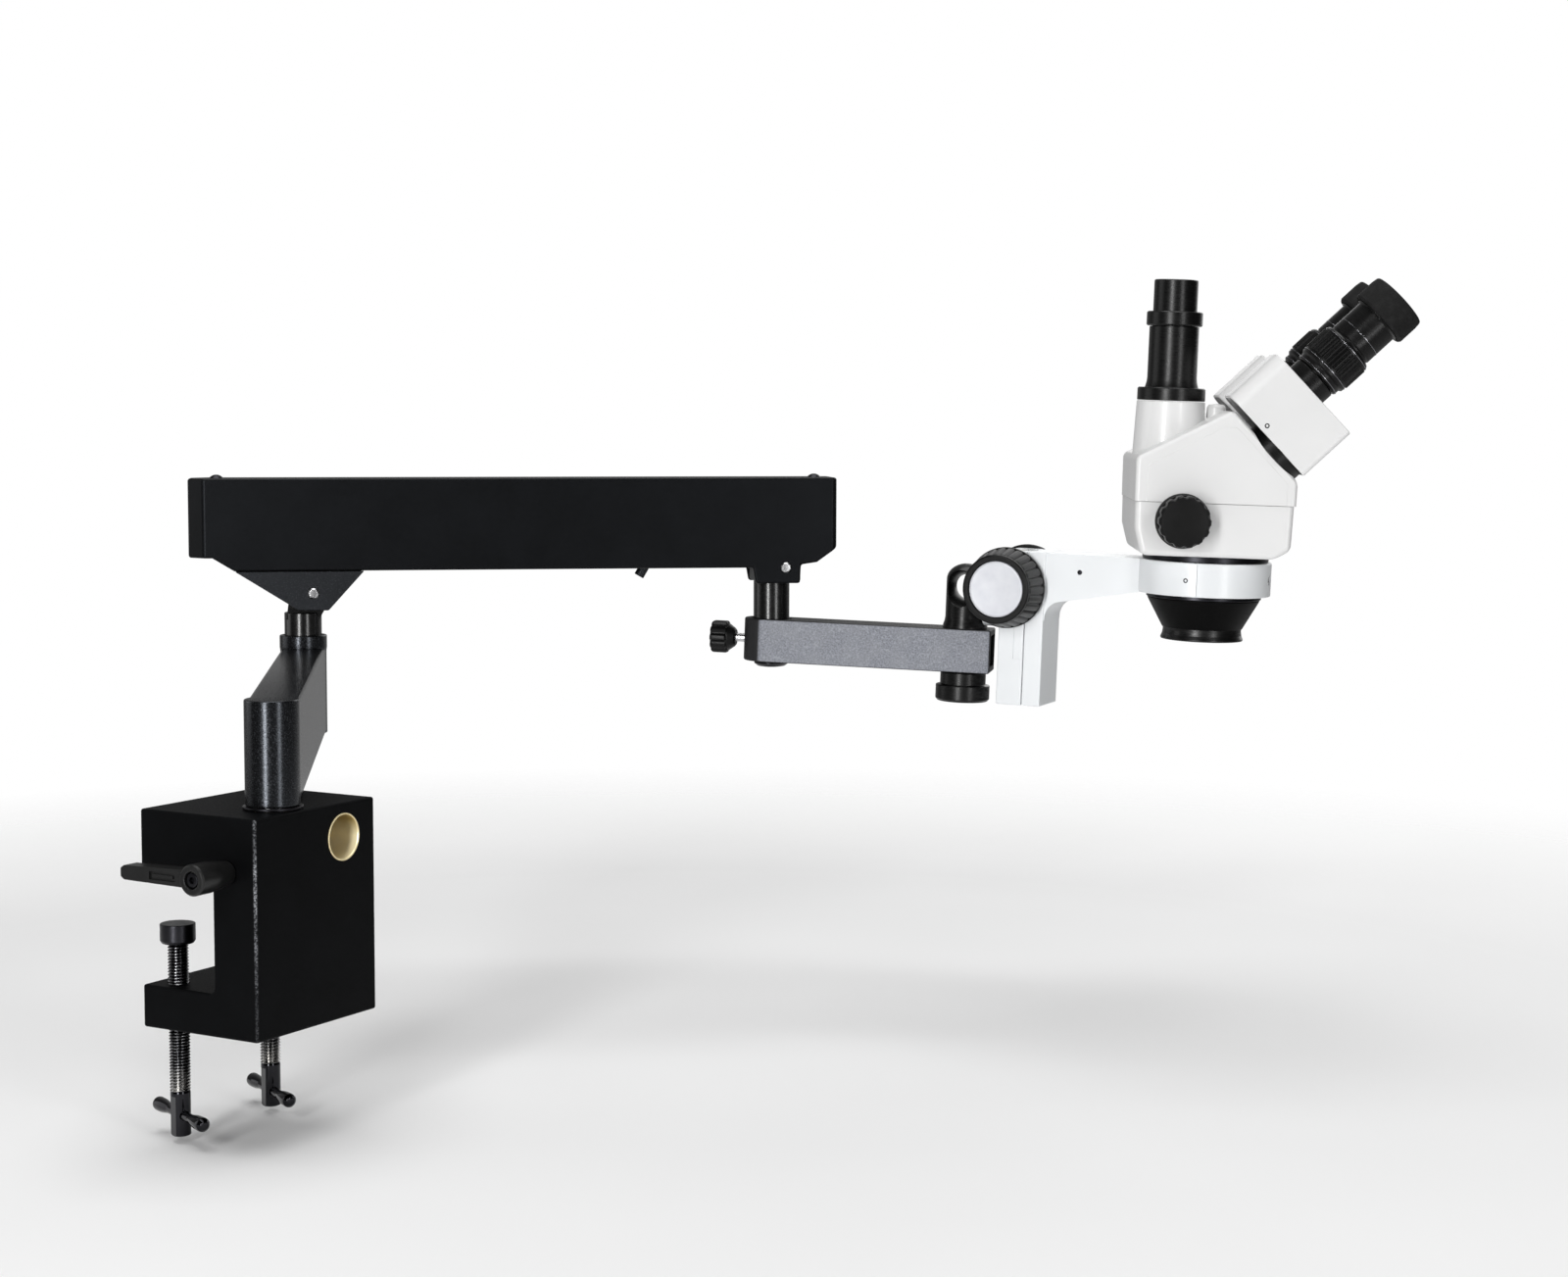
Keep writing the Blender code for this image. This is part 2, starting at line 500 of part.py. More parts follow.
def head():
    foot = [(41.5, RING_Z[1] + 0.4), (41.5, BODY_LOW - 0.3), (33, BODY_LOW - 0.3), (33, 82), (28, 82),
            (28, 46.5), (37.8, 46.5), (37.8, RING_Z[1] + 0.4)]
    Piece("mounting_collar", lathe(foot, steps=40), HEAD, "black paint")
    cone = [(24, 46.2), (37.3, 46.2), (37.3, 44.6), (35.6, 41), (27.0, 27.6), (27.3, 22.0),
            (28.3, 18.6), (26.4, 18.6), (24, 26)]
    Piece("objective_barrel", lathe(cone, steps=36), HEAD, "black plastic")
    lens = [(0, 27.5), (12, 28.2), (23.7, 30.5), (23.7, 38), (0, 38)]
    Piece("objective_lens", lathe(lens, steps=22), HEAD, "glass")

    low, part = BODY_LOW, PARTING
    side = [(-52.5, part), (-52.2, 93), (-47.4, low), (38.5, low), (49.0, 82), (49.8, part)]
    tub = Piece("lower_body", slab(side, -BODY_HALF, BODY_HALF), HEAD, "white paint")
    tub.soften(3.0, 2)
    tub.cut(slab([(-48.5, part + 5), (-48.2, 94), (-44.8, 82.3), (38, 82.3), (45.5, 86), (46, part + 5)],
                 -BODY_HALF + 4, BODY_HALF - 4))
    tub.cut(rod(33.3, low - 5, low + 10, steps=36))
    x, z = ZOOM_AT
    tub.cut(rod(4.4, -60, 60, "Y", (x, 0, z), 14))

    cover = [(-52.8, part + 0.3), (-53.2, 139.2), (6, 170.4), (9, 170.6), (51.2, 126.5), (50.6, part + 0.3)]
    shell = Piece("upper_shell", slab(cover, -BODY_HALF - 0.8, BODY_HALF + 0.8), HEAD, "white paint")
    shell.soften(4.0, 2)
    shell.join(lathe([(0, 130), (23.4, 130), (22.3, 175.4), (0, 175.4)], at=(TOWER_X, 0, 0), steps=28))
    shell.cut(slab([(-49, part - 5), (-49.2, 137), (6.5, 166.2), (47, 125), (46.6, part - 5)], -46.5, 46.5))
    shell.cut(rod(14, 120, 180, at=(TOWER_X, 0, 0)))
    for side in (-1, 1):
        pivot = (PRISM_PIVOT, side * PRISM_Y, 0)
        tool = shell.combine(rod(10.3, 112, 140, at=pivot), "DIFFERENCE")
        tool.matrix_world = SLOPE

    base = [(12.3, 175.8), (22.3, 175.8), (22.3, 183.4), (21.6, 184.2), (16.9, 184.2), (16.3, 190)]
    base += [(16.3, 224.4), (14.8, 224.4), (14.8, 192), (12.3, 192)]
    tower = (TOWER_X, 0, 0)
    Piece("photo_base", lathe(base, at=tower, steps=24), HEAD, "black plastic")
    ring = [(14.8, 224.8), (17.2, 224.8), (18.4, 226), (18.4, 233), (17.4, 234.2), (14.8, 234.2)]
    Piece("photo_lock_ring", lathe(ring, at=tower, steps=24), HEAD, "black plastic", (TOWER_X, 0, 229))
    Piece("photo_tube", tube(14.45, 12.4, 202, 255, at=tower, steps=24), HEAD, "black plastic",
          (TOWER_X, 0, 202))

    axle = (x, 0, z)
    Piece("zoom_shaft", rod(4.0, -56, 56, "Y", axle, 16), HEAD, "steel", axle)
    for name, side in (("zoom_knob_left", -1), ("zoom_knob_right", 1)):
        rim = [(4.3, 51.4), (18.4, 51.4), (18.8, 52), (18.8, 54.6), (16.5, 57.4), (0, 57.4), (0, 56.3)]
        outline = [(r, side * y) for r, y in rim + [(4.3, 56.3)]]
        knob = Piece(name, lathe(outline, "Y", axle, 28), HEAD, "black plastic", axle)
        span = sorted((side * 56.8, side * 70.5))
        knob.join(shifted(slab(fluted(17.6, 1.3, 12), *span, axis="Y"), x, 0, z))


def eyepieces():
    x0, x1 = PRISM_LONG
    z0, z1 = PRISM_DEEP
    for name, side in (("left", -1), ("right", 1)):
        y = side * PRISM_Y
        pivot, axis = (PRISM_PIVOT, y, 0), (EYEPIECE_X, y, 0)
        wide, narrow = PRISM_HALF - PRISM_ROUND, PRISM_HALF - PRISM_CORNER
        plan = arc(x0 + PRISM_ROUND, y + wide, PRISM_ROUND, 90, 180, 5)
        plan += arc(x0 + PRISM_ROUND, y - wide, PRISM_ROUND, 180, 270, 5)
        plan += arc(x1 - PRISM_CORNER, y - narrow, PRISM_CORNER, 270, 360, 2)
        plan += arc(x1 - PRISM_CORNER, y + narrow, PRISM_CORNER, 0, 90, 2)
        box = Piece(f"prism_{name}", slab(plan, z0, z1, axis="Z"), SLOPE, "white paint", pivot)
        box.soften(1.5, angle=60)
        box.join(rod(10.0, 119.5, z0 + 4, at=pivot))
        box.cut(rod(6.5, 112, z0 + 14, at=pivot, steps=16))
        box.cut(rod(10.5, z1 - 24, z1 + 9, at=axis, steps=18))
        box.cut(block((EYEPIECE_X - 7, PRISM_PIVOT + 5), (y - 6, y + 6), (z0 + 8, z1 - 20)))
        top = z1 + 0.3
        barrel = [(8.5, top - 22), (10.2, top - 22), (10.2, top), (13.6, top), (13.6, top + 13.2),
                  (12.4, top + 13.8), (12.4, top + 33.2), (15.6, top + 34), (15.8, top + 62),
                  (17.2, top + 63), (17.2, top + 71), (11.5, top + 71), (8.5, top + 60)]
        Piece(f"eyepiece_{name}", lathe(barrel, at=axis, steps=24), SLOPE, "black plastic", axis)
        dial = [(12.8, top + 14.2), (17.4, top + 14.2), (18.6, top + 16), (18.6, top + 36.6),
                (17.6, top + 38), (16.2, top + 38), (16.2, top + 32.8), (12.8, top + 32.6)]
        Piece(f"dioptre_ring_{name}", lathe(dial, at=axis, steps=28), SLOPE, "black plastic", axis)
        cup = [(17.5, top + 63.4), (19.6, top + 63.4), (20.4, top + 65), (20.2, top + 81),
               (19.4, top + 82), (18.0, top + 81), (17.0, top + 73.6), (13.0, top + 73.0),
               (13.0, top + 71.4), (17.5, top + 71.4)]
        Piece(f"eyecup_{name}", lathe(cup, at=axis, steps=24), SLOPE, "rubber", axis)


clamp()
clamp_screws()
lock_lever()
lower_arm()
lower_post()
spring_arm()
upper_post()
extension_arm()
swivel_post()
focus_mount()
focus_slide()
head()
eyepieces()
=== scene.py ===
"""The finished look of a trinocular stereo microscope on a spring-balanced bench arm.

Pieces are modelled in millimetres, each in the frame of the assembly it belongs to. Those frames are worked
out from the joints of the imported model.
"""

import json
import math

import bmesh
import bpy
from mathutils import Matrix, Vector


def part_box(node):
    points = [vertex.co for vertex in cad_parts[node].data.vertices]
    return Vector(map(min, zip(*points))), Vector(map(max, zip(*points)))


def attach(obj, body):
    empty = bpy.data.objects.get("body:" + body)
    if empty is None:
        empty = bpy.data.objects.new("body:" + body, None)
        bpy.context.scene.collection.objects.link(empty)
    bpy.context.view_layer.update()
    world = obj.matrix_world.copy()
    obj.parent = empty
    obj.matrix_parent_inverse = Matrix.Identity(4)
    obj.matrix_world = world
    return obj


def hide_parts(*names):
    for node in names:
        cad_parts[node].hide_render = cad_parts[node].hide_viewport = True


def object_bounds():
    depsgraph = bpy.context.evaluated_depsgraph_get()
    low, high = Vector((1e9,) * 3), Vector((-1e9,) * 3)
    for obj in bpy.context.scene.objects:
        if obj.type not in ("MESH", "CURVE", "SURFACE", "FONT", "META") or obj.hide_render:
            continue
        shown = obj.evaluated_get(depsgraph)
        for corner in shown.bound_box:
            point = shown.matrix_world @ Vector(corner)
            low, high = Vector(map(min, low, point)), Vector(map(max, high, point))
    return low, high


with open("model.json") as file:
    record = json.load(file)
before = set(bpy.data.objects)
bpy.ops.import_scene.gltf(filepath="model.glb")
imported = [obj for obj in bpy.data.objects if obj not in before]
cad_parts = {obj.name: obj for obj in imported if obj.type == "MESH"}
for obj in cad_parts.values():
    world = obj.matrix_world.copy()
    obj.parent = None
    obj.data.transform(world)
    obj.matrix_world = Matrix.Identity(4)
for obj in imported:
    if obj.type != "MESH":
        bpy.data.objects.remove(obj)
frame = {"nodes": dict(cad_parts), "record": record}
CAD_BOX = [list(corner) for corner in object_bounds()]
MM = 0.001
RECORD = frame["record"]
BODY_OF = {node: body for body, nodes in RECORD["behaviour"]["bodies"].items() for node in nodes}
JOINTS = {joint["name"]: joint for joint in RECORD["behaviour"]["joints"]}


# ---- frames, from the joints


def stand(at, x, z):
    """A frame at a point in metres, with its X and Z directions."""
    z = Vector(z).normalized()
    y = z.cross(Vector(x)).normalized()
    found = Matrix((y.cross(z), y, z)).transposed().to_4x4()
    found.translation = Vector(at)
    return found


def spot(joint, height=0.0):
    """A joint's place, moved down its axis by a height in millimetres."""
    at = Vector(JOINTS[joint]["pos_m"])
    return at - Vector(JOINTS[joint]["axis"]) * height * MM


def line(joint):
    return Vector(JOINTS[joint]["axis"])


UP = Vector((0, 0, 1))
POST_A, POST_B = spot("lower_arm_swing"), spot("spring_arm_swing")
POST_C = spot("extension_swing", 62.4)
BASE = Matrix.Identity(4)
LOWER = stand(POST_A, POST_B - POST_A, UP)
SPRING = stand(POST_B, POST_C - POST_B, UP)
UPPER = stand(POST_C, (1, 0, 0), UP)
EXTENSION = stand(spot("extension_swing"), line("thumb_screw_turn"), line("swivel_post_turn"))
EYE = stand(spot("swivel_post_turn"), line("thumb_screw_turn"), line("swivel_post_turn"))
MOUNT = stand(spot("swivel_post_turn"), line("mount_roll"), line("focus_travel"))
HEAD = stand(spot("head_turn", 60), line("zoom_turn").cross(line("head_turn")), line("head_turn"))
SLOPE = HEAD @ Matrix.Rotation(math.radians(45), 4, "Y")
BLOCK = [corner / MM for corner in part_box("clamp_block")]
DECK = BLOCK[1].z
POST_R = 12.5
SCREW_X, SCREW_Y, SCREW_R = 38.7, 11.75, 6.0
SOCKET, SOCKET_R = (24.0, 0, 21.2), 12.6


# ---- outlines and solids


def arc(cx, cy, radius, start, end, steps=12):
    turns = [math.radians(start + (end - start) * i / steps) for i in range(steps + 1)]
    return [(cx + radius * math.cos(t), cy + radius * math.sin(t)) for t in turns]


def rounded(outline, radius, steps=4, keep=()):
    """A closed outline with its corners rounded, apart from those on the axis and those listed in keep."""
    found = []
    count = len(outline)
    for i, corner in enumerate(outline):
        here = Vector(corner)
        before, after = Vector(outline[i - 1]) - here, Vector(outline[(i + 1) % count]) - here
        bend = before.angle(after, math.pi)
        if abs(here.x) < 1e-6 or i in keep or bend > math.radians(170):
            found.append(tuple(here))
            continue
        reach = min(radius / math.tan(bend / 2), before.length * 0.45, after.length * 0.45)
        first, last = here + before.normalized() * reach, here + after.normalized() * reach
        for k in range(steps + 1):
            t = k / steps
            point = first * (1 - t) ** 2 + here * 2 * t * (1 - t) + last * t**2
            found.append(tuple(point))
    return found


def place(a, b, h, axis):
    return {"X": (h, a, b), "Y": (a, h, b), "Z": (a, b, h)}[axis]


def lathe(profile, axis="Z", at=(0, 0, 0), steps=96):
    """A closed outline of (radius, height) turned about an axis through at."""
    points, faces, rings = [], [], []
    for radius, height in profile:
        if radius < 1e-6:
            rings.append([len(points)])
            points.append(place(0, 0, height, axis))
            continue
        rings.append([len(points) + i for i in range(steps)])
        for i in range(steps):
            turn = 2 * math.pi * i / steps
            points.append(place(radius * math.cos(turn), radius * math.sin(turn), height, axis))
    for first, second in zip(rings, rings[1:] + rings[:1]):
        for i in range(steps):
            j = (i + 1) % steps
            face = [first[i % len(first)], first[j % len(first)]]
            face += [second[j % len(second)], second[i % len(second)]]
            face = list(dict.fromkeys(face))
            if len(face) > 2:
                faces.append(face)
    return [tuple(Vector(p) + Vector(at)) for p in points], faces


def turned(profile, radius, axis="Z", at=(0, 0, 0), steps=96):
    """A lathed solid with its corners rounded."""
    return lathe(rounded(profile, radius), axis, at, steps)


def rod(radius, low, high, axis="Z", at=(0, 0, 0), steps=64):
    return lathe([(0, low), (radius, low), (radius, high), (0, high)], axis, at, steps)


def slab(outline, low, high, axis="Y"):
    """An outline pushed along an axis; it is given in the other two directions, in order."""
    count = len(outline)
    points = [place(a, b, h, axis) for h in (low, high) for a, b in outline]
    faces = [list(range(count)), list(range(count, 2 * count))]
    for i in range(count):
        j = (i + 1) % count
        faces.append([i, j, count + j, count + i])
    return points, faces


def box(x, y, z):
    return slab([(x[0], y[0]), (x[1], y[0]), (x[1], y[1]), (x[0], y[1])], *z, axis="Z")


def moved(shape, dx=0, dy=0, dz=0):
    return [(x + dx, y + dy, z + dz) for x, y, z in shape[0]], shape[1]


def spun(shape, degrees, axis, at=(0, 0, 0)):
    turn, centre = Matrix.Rotation(math.radians(degrees), 3, axis), Vector(at)
    return [tuple(turn @ (Vector(p) - centre) + centre) for p in shape[0]], shape[1]


def loft(rings, closed=False):
    """A skin over rings of points, which runs back to the first ring or has a cap at each end."""
    count, points = len(rings[0]), [point for ring in rings for point in ring]
    faces = []
    for row in range(len(rings) if closed else len(rings) - 1):
        first, second = row * count, (row + 1) % len(rings) * count
        for i in range(count):
            j = (i + 1) % count
            faces.append([first + i, first + j, second + j, second + i])
    if not closed:
        faces += [list(range(count)), list(range(len(points) - count, len(points)))]
    return points, faces


def scalloped(outer, dip, count, steps=8, width=0.5):
    """A round outline with hollows cut into it, for a grip. width is the hollows' share of the rim."""
    found = []
    for i in range(count * steps):
        share = (i % steps) / steps
        inside = abs(share - 0.5) < width / 2
        hollow = max(0.0, math.cos(math.pi * (share - 0.5) / width)) if inside else 0.0
        turn = 2 * math.pi * i / (count * steps)
        radius = outer - dip * hollow
        found.append((radius * math.cos(turn), radius * math.sin(turn)))
    return found


def grip(outline, heights, inset, axis="Y"):
    """A knob from an outline, narrowed at both rims: heights run from one face to the other."""
    low, high = heights
    toward = 1 if high > low else -1
    levels = [(low, 1 - inset), (low + toward * 0.5, 1 - inset * 0.3), (low + toward * 1.2, 1.0),
              (high - toward * 1.6, 1.0), (high - toward * 0.6, 1 - inset * 0.4), (high, 1 - inset)]
    return loft([[place(a * scale, b * scale, height, axis) for a, b in outline] for height, scale in levels])


def thread(crest, depth, low, high, pitch, at, around=48, per_turn=8):
    """A threaded rod: a grid whose radius follows a helix."""
    rows = int((high - low) / pitch * per_turn)
    rings = []
    for row in range(rows + 1):
        z = low + (high - low) * row / rows
        ring = []
        for i in range(around):
            radius = crest - depth * abs(2 * ((z / pitch - i / around) % 1) - 1)
            turn = 2 * math.pi * i / around
            ring.append((at[0] + radius * math.cos(turn), at[1] + radius * math.sin(turn), z))
        rings.append(ring)
    return loft(rings)


def sided(profile, radius, side, axle):
    """A turned part of a knob about Y. Its outline is given for the knob at +Y."""
    return lathe([(r, side * y) for r, y in rounded(profile, radius)], "Y", axle)


def placed(name, data):
    made = bpy.data.objects.new(name, data)
    bpy.context.scene.collection.objects.link(made)
    return made


PIECES = []


class Piece:
    """One visible piece. It rides with the body of a CAD node, and hides that node if it stands for it."""

    def __init__(self, name, node, shape, at, finish, stands=True):
        self.at, self.tools = at, []
        self.object = self.build(name, shape)
        self.object.data.materials.append(finish)
        self.node, self.stands = node, [node] if stands else []
        PIECES.append(self)

    def build(self, name, shape):
        points, faces = shape
        mesh = bpy.data.meshes.new(name)
        bm = bmesh.new()
        corners = [bm.verts.new(Vector(p) * MM) for p in points]
        for face in faces:
            bm.faces.new([corners[i] for i in face])
        bmesh.ops.recalc_face_normals(bm, faces=bm.faces)
        bm.to_mesh(mesh)
        bm.free()
        made = placed(name, mesh)
        made.matrix_world = self.at
        return made

    def combine(self, shape, operation, at=None):
        tool = self.build(f"{self.object.name}_tool{len(self.tools)}", shape)
        tool.hide_render = True
        if at is not None:
            tool.matrix_world = at
        self.tools.append(tool)
        boolean = self.object.modifiers.new(operation, "BOOLEAN")
        boolean.operation, boolean.object, boolean.solver = operation, tool, "EXACT"
        return self

    def cut(self, shape, at=None):
        return self.combine(shape, "DIFFERENCE", at)

    def join(self, shape, at=None):
        return self.combine(shape, "UNION", at)

    def within(self, shape, at=None):
        return self.combine(shape, "INTERSECT", at)

    def soften(self, width, segments=3, angle=40):
        bevel = self.object.modifiers.new("edges", "BEVEL")
        bevel.width, bevel.segments = width * MM, segments
        bevel.limit_method, bevel.angle_limit = "ANGLE", math.radians(angle)
        return self

    def settle(self, graph):
        """Keeps the result of the modifiers as the mesh, and clears the tools away."""
        made = bpy.data.meshes.new_from_object(self.object.evaluated_get(graph))
        self.object.modifiers.clear()
        self.object.data = made
        local = made.attributes.new("local", "FLOAT_VECTOR", "POINT")
        local.data.foreach_set("vector", [number for vertex in made.vertices for number in vertex.co])
        made.transform(self.at)
        self.object.matrix_world = BASE
        made.shade_smooth()
        made.set_sharp_from_angle(angle=math.radians(34))
        weighted = self.object.modifiers.new("normals", "WEIGHTED_NORMAL")
        weighted.keep_sharp = True
        for tool in self.tools:
            bpy.data.objects.remove(tool)
        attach(self.object, BODY_OF[self.node])
        if self.stands:
            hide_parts(*self.stands)


def detail(name, node, shape, at, finish):
    """A piece that is added to a node and doesn't stand for it."""
    return Piece(name, node, shape, at, finish, stands=False)


# ---- finishes


class Finish:
    """A node material under construction, on one Principled shader."""

    def __init__(self, name, colour, roughness, metallic=0.0, local=True, **constants):
        self.material = bpy.data.materials.new(name)
        self.material.use_nodes = True
        self.tree = self.material.node_tree
        self.shader = self.tree.nodes["Principled BSDF"]
        self.shader.inputs["Base Color"].default_value = (*colour, 1)
        self.shader.inputs["Roughness"].default_value = roughness
        self.shader.inputs["Metallic"].default_value = metallic
        for socket, value in constants.items():
            self.shader.inputs[socket.replace("_", " ")].default_value = value
        if local:
            place_node = self.tree.nodes.new("ShaderNodeAttribute")
            place_node.attribute_name = "local"
            self.where = place_node.outputs["Vector"]
        else:
            self.where = self.tree.nodes.new("ShaderNodeTexCoord").outputs["Object"]

    def add(self, kind, **inputs):
        node = self.tree.nodes.new(kind)
        for name, value in inputs.items():
            self.feed(node.inputs[name.replace("_", " ")], value)
        return node

    def feed(self, socket, value):
        if isinstance(value, bpy.types.NodeSocket):
            self.tree.links.new(value, socket)
        else:
            socket.default_value = value

    def stretched(self, x, y, z):
        scale = self.add("ShaderNodeMapping", Vector=self.where)
        scale.inputs["Scale"].default_value = (x, y, z)
        return scale.outputs["Vector"]

    def noise(self, grain, detail=3.0, where=None):
        """Noise whose grains are that many millimetres across."""
        scale = 1 / (grain * MM)
        return self.add("ShaderNodeTexNoise", Vector=where or self.where, Scale=scale,
                        Detail=detail).outputs["Fac"]

    def spread(self, value, low=0.0, high=1.0, floor=0.3, ceiling=0.7):
        node = self.add("ShaderNodeMapRange", Value=value)
        for name, number in (("From Min", floor), ("From Max", ceiling), ("To Min", low), ("To Max", high)):
            node.inputs[name].default_value = number
        return node.outputs["Result"]

    def blend(self, share, first, second):
        node = self.tree.nodes.new("ShaderNodeMix")
        node.data_type = "RGBA"
        self.feed(node.inputs["Factor"], share)
        for name, value in (("A", first), ("B", second)):
            socket = [s for s in node.inputs if s.name == name and s.type == "RGBA"][0]
            self.feed(socket, value if isinstance(value, bpy.types.NodeSocket) else (*value, 1))
        return [s for s in node.outputs if s.type == "RGBA"][0]

    def math(self, operation, first, second=0.0):
        node = self.tree.nodes.new("ShaderNodeMath")
        node.operation = operation
        self.feed(node.inputs[0], first)
        self.feed(node.inputs[1], second)
        return node.outputs[0]

    def from_axis(self, first, second, at):
        """How far a point lies from an axis, which passes the two directions at a place in millimetres."""
        squares = []
        for value, start in zip((first, second), at):
            squares.append(self.math("POWER", self.math("SUBTRACT", value, start * MM), 2.0))
        return self.math("SQRT", self.math("ADD", *squares))

    def bump(self, height, strength, distance):
        node = self.add("ShaderNodeBump", Height=height, Strength=strength, Distance=distance * MM)
        self.tree.links.new(node.outputs["Normal"], self.shader.inputs["Normal"])
        return self

    def colour(self, value):
        self.feed(self.shader.inputs["Base Color"], value)
        return self

    def grained(self, grain, smooth, rough, strength, depth):
        """Lets a grain vary the roughness and raise the surface, and hands the material over."""
        self.feed(self.shader.inputs["Roughness"], self.spread(grain, smooth, rough))
        return self.bump(grain, strength, depth).material


def powder_coat(name, tone, gloss, shine, grain, depth, fleck=0.0, rubbed=None):
    """Black powder coat with a fine orange peel: flecks, and bare metal on an upright edge at (x, y)."""
    finish = Finish(name, (tone,) * 3, gloss, Specular_IOR_Level=shine, Specular_Tint=(0.84, 0.9, 1.0, 1))
    peel, cloud = finish.noise(grain, 4.0), finish.noise(26.0, 2.0)
    colour = finish.blend(finish.spread(cloud), (tone * 0.75,) * 3, (tone * 1.4, tone * 1.45, tone * 1.6))
    if fleck:
        spark = finish.spread(finish.noise(0.75, 2.0), 0.0, fleck, 0.60, 0.70)
        colour = finish.blend(spark, colour, (0.16, 0.165, 0.18))
    if rubbed:
        split = finish.add("ShaderNodeSeparateXYZ", Vector=finish.where)
        away = finish.from_axis(split.outputs["X"], split.outputs["Y"], rubbed)
        edge = finish.spread(away, 1.0, 0.0, 0.8 * MM, 1.7 * MM)
        height = finish.spread(split.outputs["Z"], 0.12, 1.0, -60 * MM, 36 * MM)
        speck = finish.spread(finish.noise(0.9, 4.0), 0.1, 1.0, 0.45, 0.58)
        patch = finish.spread(finish.noise(9.0, 2.0), 0.25, 1.0, 0.4, 0.6)
        worn = finish.math("MULTIPLY", finish.math("MULTIPLY", edge, speck),
                           finish.math("MULTIPLY", height, patch))
        colour = finish.blend(worn, colour, (0.42, 0.43, 0.46))
    return finish.colour(colour).grained(peel, gloss - 0.08, gloss + 0.1, 0.4, depth)


def hammered_black_painted_reflection():
    """Black wrinkle-coated arm: its two flat sides carry a painted reflection in sparkling grey, and the rest
    stays dark.
    """
    finish = Finish("hammered_black_painted_reflection", (0.12, 0.125, 0.135), 0.5, Specular_IOR_Level=0.25)
    fine, coarse = finish.noise(1.1, 3.0), finish.noise(14.0, 2.0)
    painted_reflection = finish.blend(finish.spread(fine, 0.0, 1.0, 0.34, 0.66), (0.13, 0.137, 0.158),
                        (0.26, 0.27, 0.305))
    painted_reflection = finish.blend(finish.spread(coarse, 0.0, 0.4, 0.4, 0.7), painted_reflection, (0.25, 0.258, 0.28))
    spark = finish.spread(finish.noise(1.5, 2.0), 0.0, 0.8, 0.55, 0.68)
    painted_reflection = finish.blend(spark, painted_reflection, (0.30, 0.315, 0.345))
    # Painted reflection: the flat sides, beyond 15.1 mm from the middle, take the grey in place of the bright
    # surroundings they would reflect
    split = finish.add("ShaderNodeSeparateXYZ", Vector=finish.where)
    side = finish.spread(finish.math("ABSOLUTE", split.outputs["Y"]), 0.0, 1.0, 15.1 * MM, 15.4 * MM)
    finish.colour(finish.blend(side, (0.012, 0.012, 0.013), painted_reflection))
    return finish.grained(fine, 0.42, 0.62, 0.5, 0.12)


def enamel(name, tint):
    """White baked enamel: a soft orange peel and a clear top layer."""
    finish = Finish(name, tint, 0.34, Coat_Weight=0.25, Coat_Roughness=0.12)
    cloud, peel = finish.noise(40.0, 2.0), finish.noise(1.6, 2.0)
    shade = tuple(channel * 0.965 for channel in tint)
    finish.colour(finish.blend(finish.spread(cloud), shade, tint))
    return finish.grained(peel, 0.28, 0.42, 0.10, 0.05)


def turned_metal(name, colour, gloss, across=0.05, marks=0.12, stain=None, local=True):
    """Lathe-turned metal: fine rings across its Z axis, and a few stains."""
    finish = Finish(name, colour, gloss, 1.0, local)
    rings = finish.noise(1.0, 4.0, finish.stretched(0.12, 0.12, 6.0))
    blotch = finish.spread(finish.noise(7.0, 3.0), 0.0, 1.0, 0.42, 0.72)
    finish.colour(finish.blend(blotch, colour, stain or tuple(channel * 0.78 for channel in colour)))
    return finish.grained(rings, gloss - across, gloss + across, marks, 0.02)


def moulded(name, tone, gloss, grain=0.5, shine=0.35):
    """Moulded black plastic with a spark-eroded texture."""
    finish = Finish(name, (tone, tone, tone), gloss, Specular_IOR_Level=shine)
    fine, cloud = finish.noise(grain, 3.0), finish.noise(12.0, 2.0)
    finish.colour(finish.blend(finish.spread(cloud), (tone * 0.7,) * 3, (tone * 1.3,) * 3))
    return finish.grained(fine, gloss - 0.06, gloss + 0.08, 0.3, 0.03)


def anodised(name, tone, gloss, shine, marks=0.06):
    """Black anodised tube: faint turning rings under a satin sheen."""
    finish = Finish(name, (tone, tone, tone * 1.05), gloss, Specular_IOR_Level=shine)
    rings = finish.noise(1.0, 3.0, finish.stretched(0.1, 0.1, 3.2))
    cloud = finish.noise(9.0, 2.0)
    finish.colour(finish.blend(finish.spread(cloud), (tone * 0.8,) * 3, (tone * 1.25,) * 3))
    return finish.grained(rings, gloss - 0.05, gloss + 0.06, marks, 0.02)


def rubber():
    finish = Finish("eyecup_rubber", (0.005, 0.005, 0.005), 0.78, Specular_IOR_Level=0.3)
    fine, dust = finish.noise(0.35, 4.0), finish.noise(5.0, 3.0)
    finish.colour(finish.blend(finish.spread(dust, 0.0, 1.0, 0.45, 0.75), (0.004,) * 3, (0.011,) * 3))
    return finish.grained(fine, 0.7, 0.9, 0.4, 0.06)


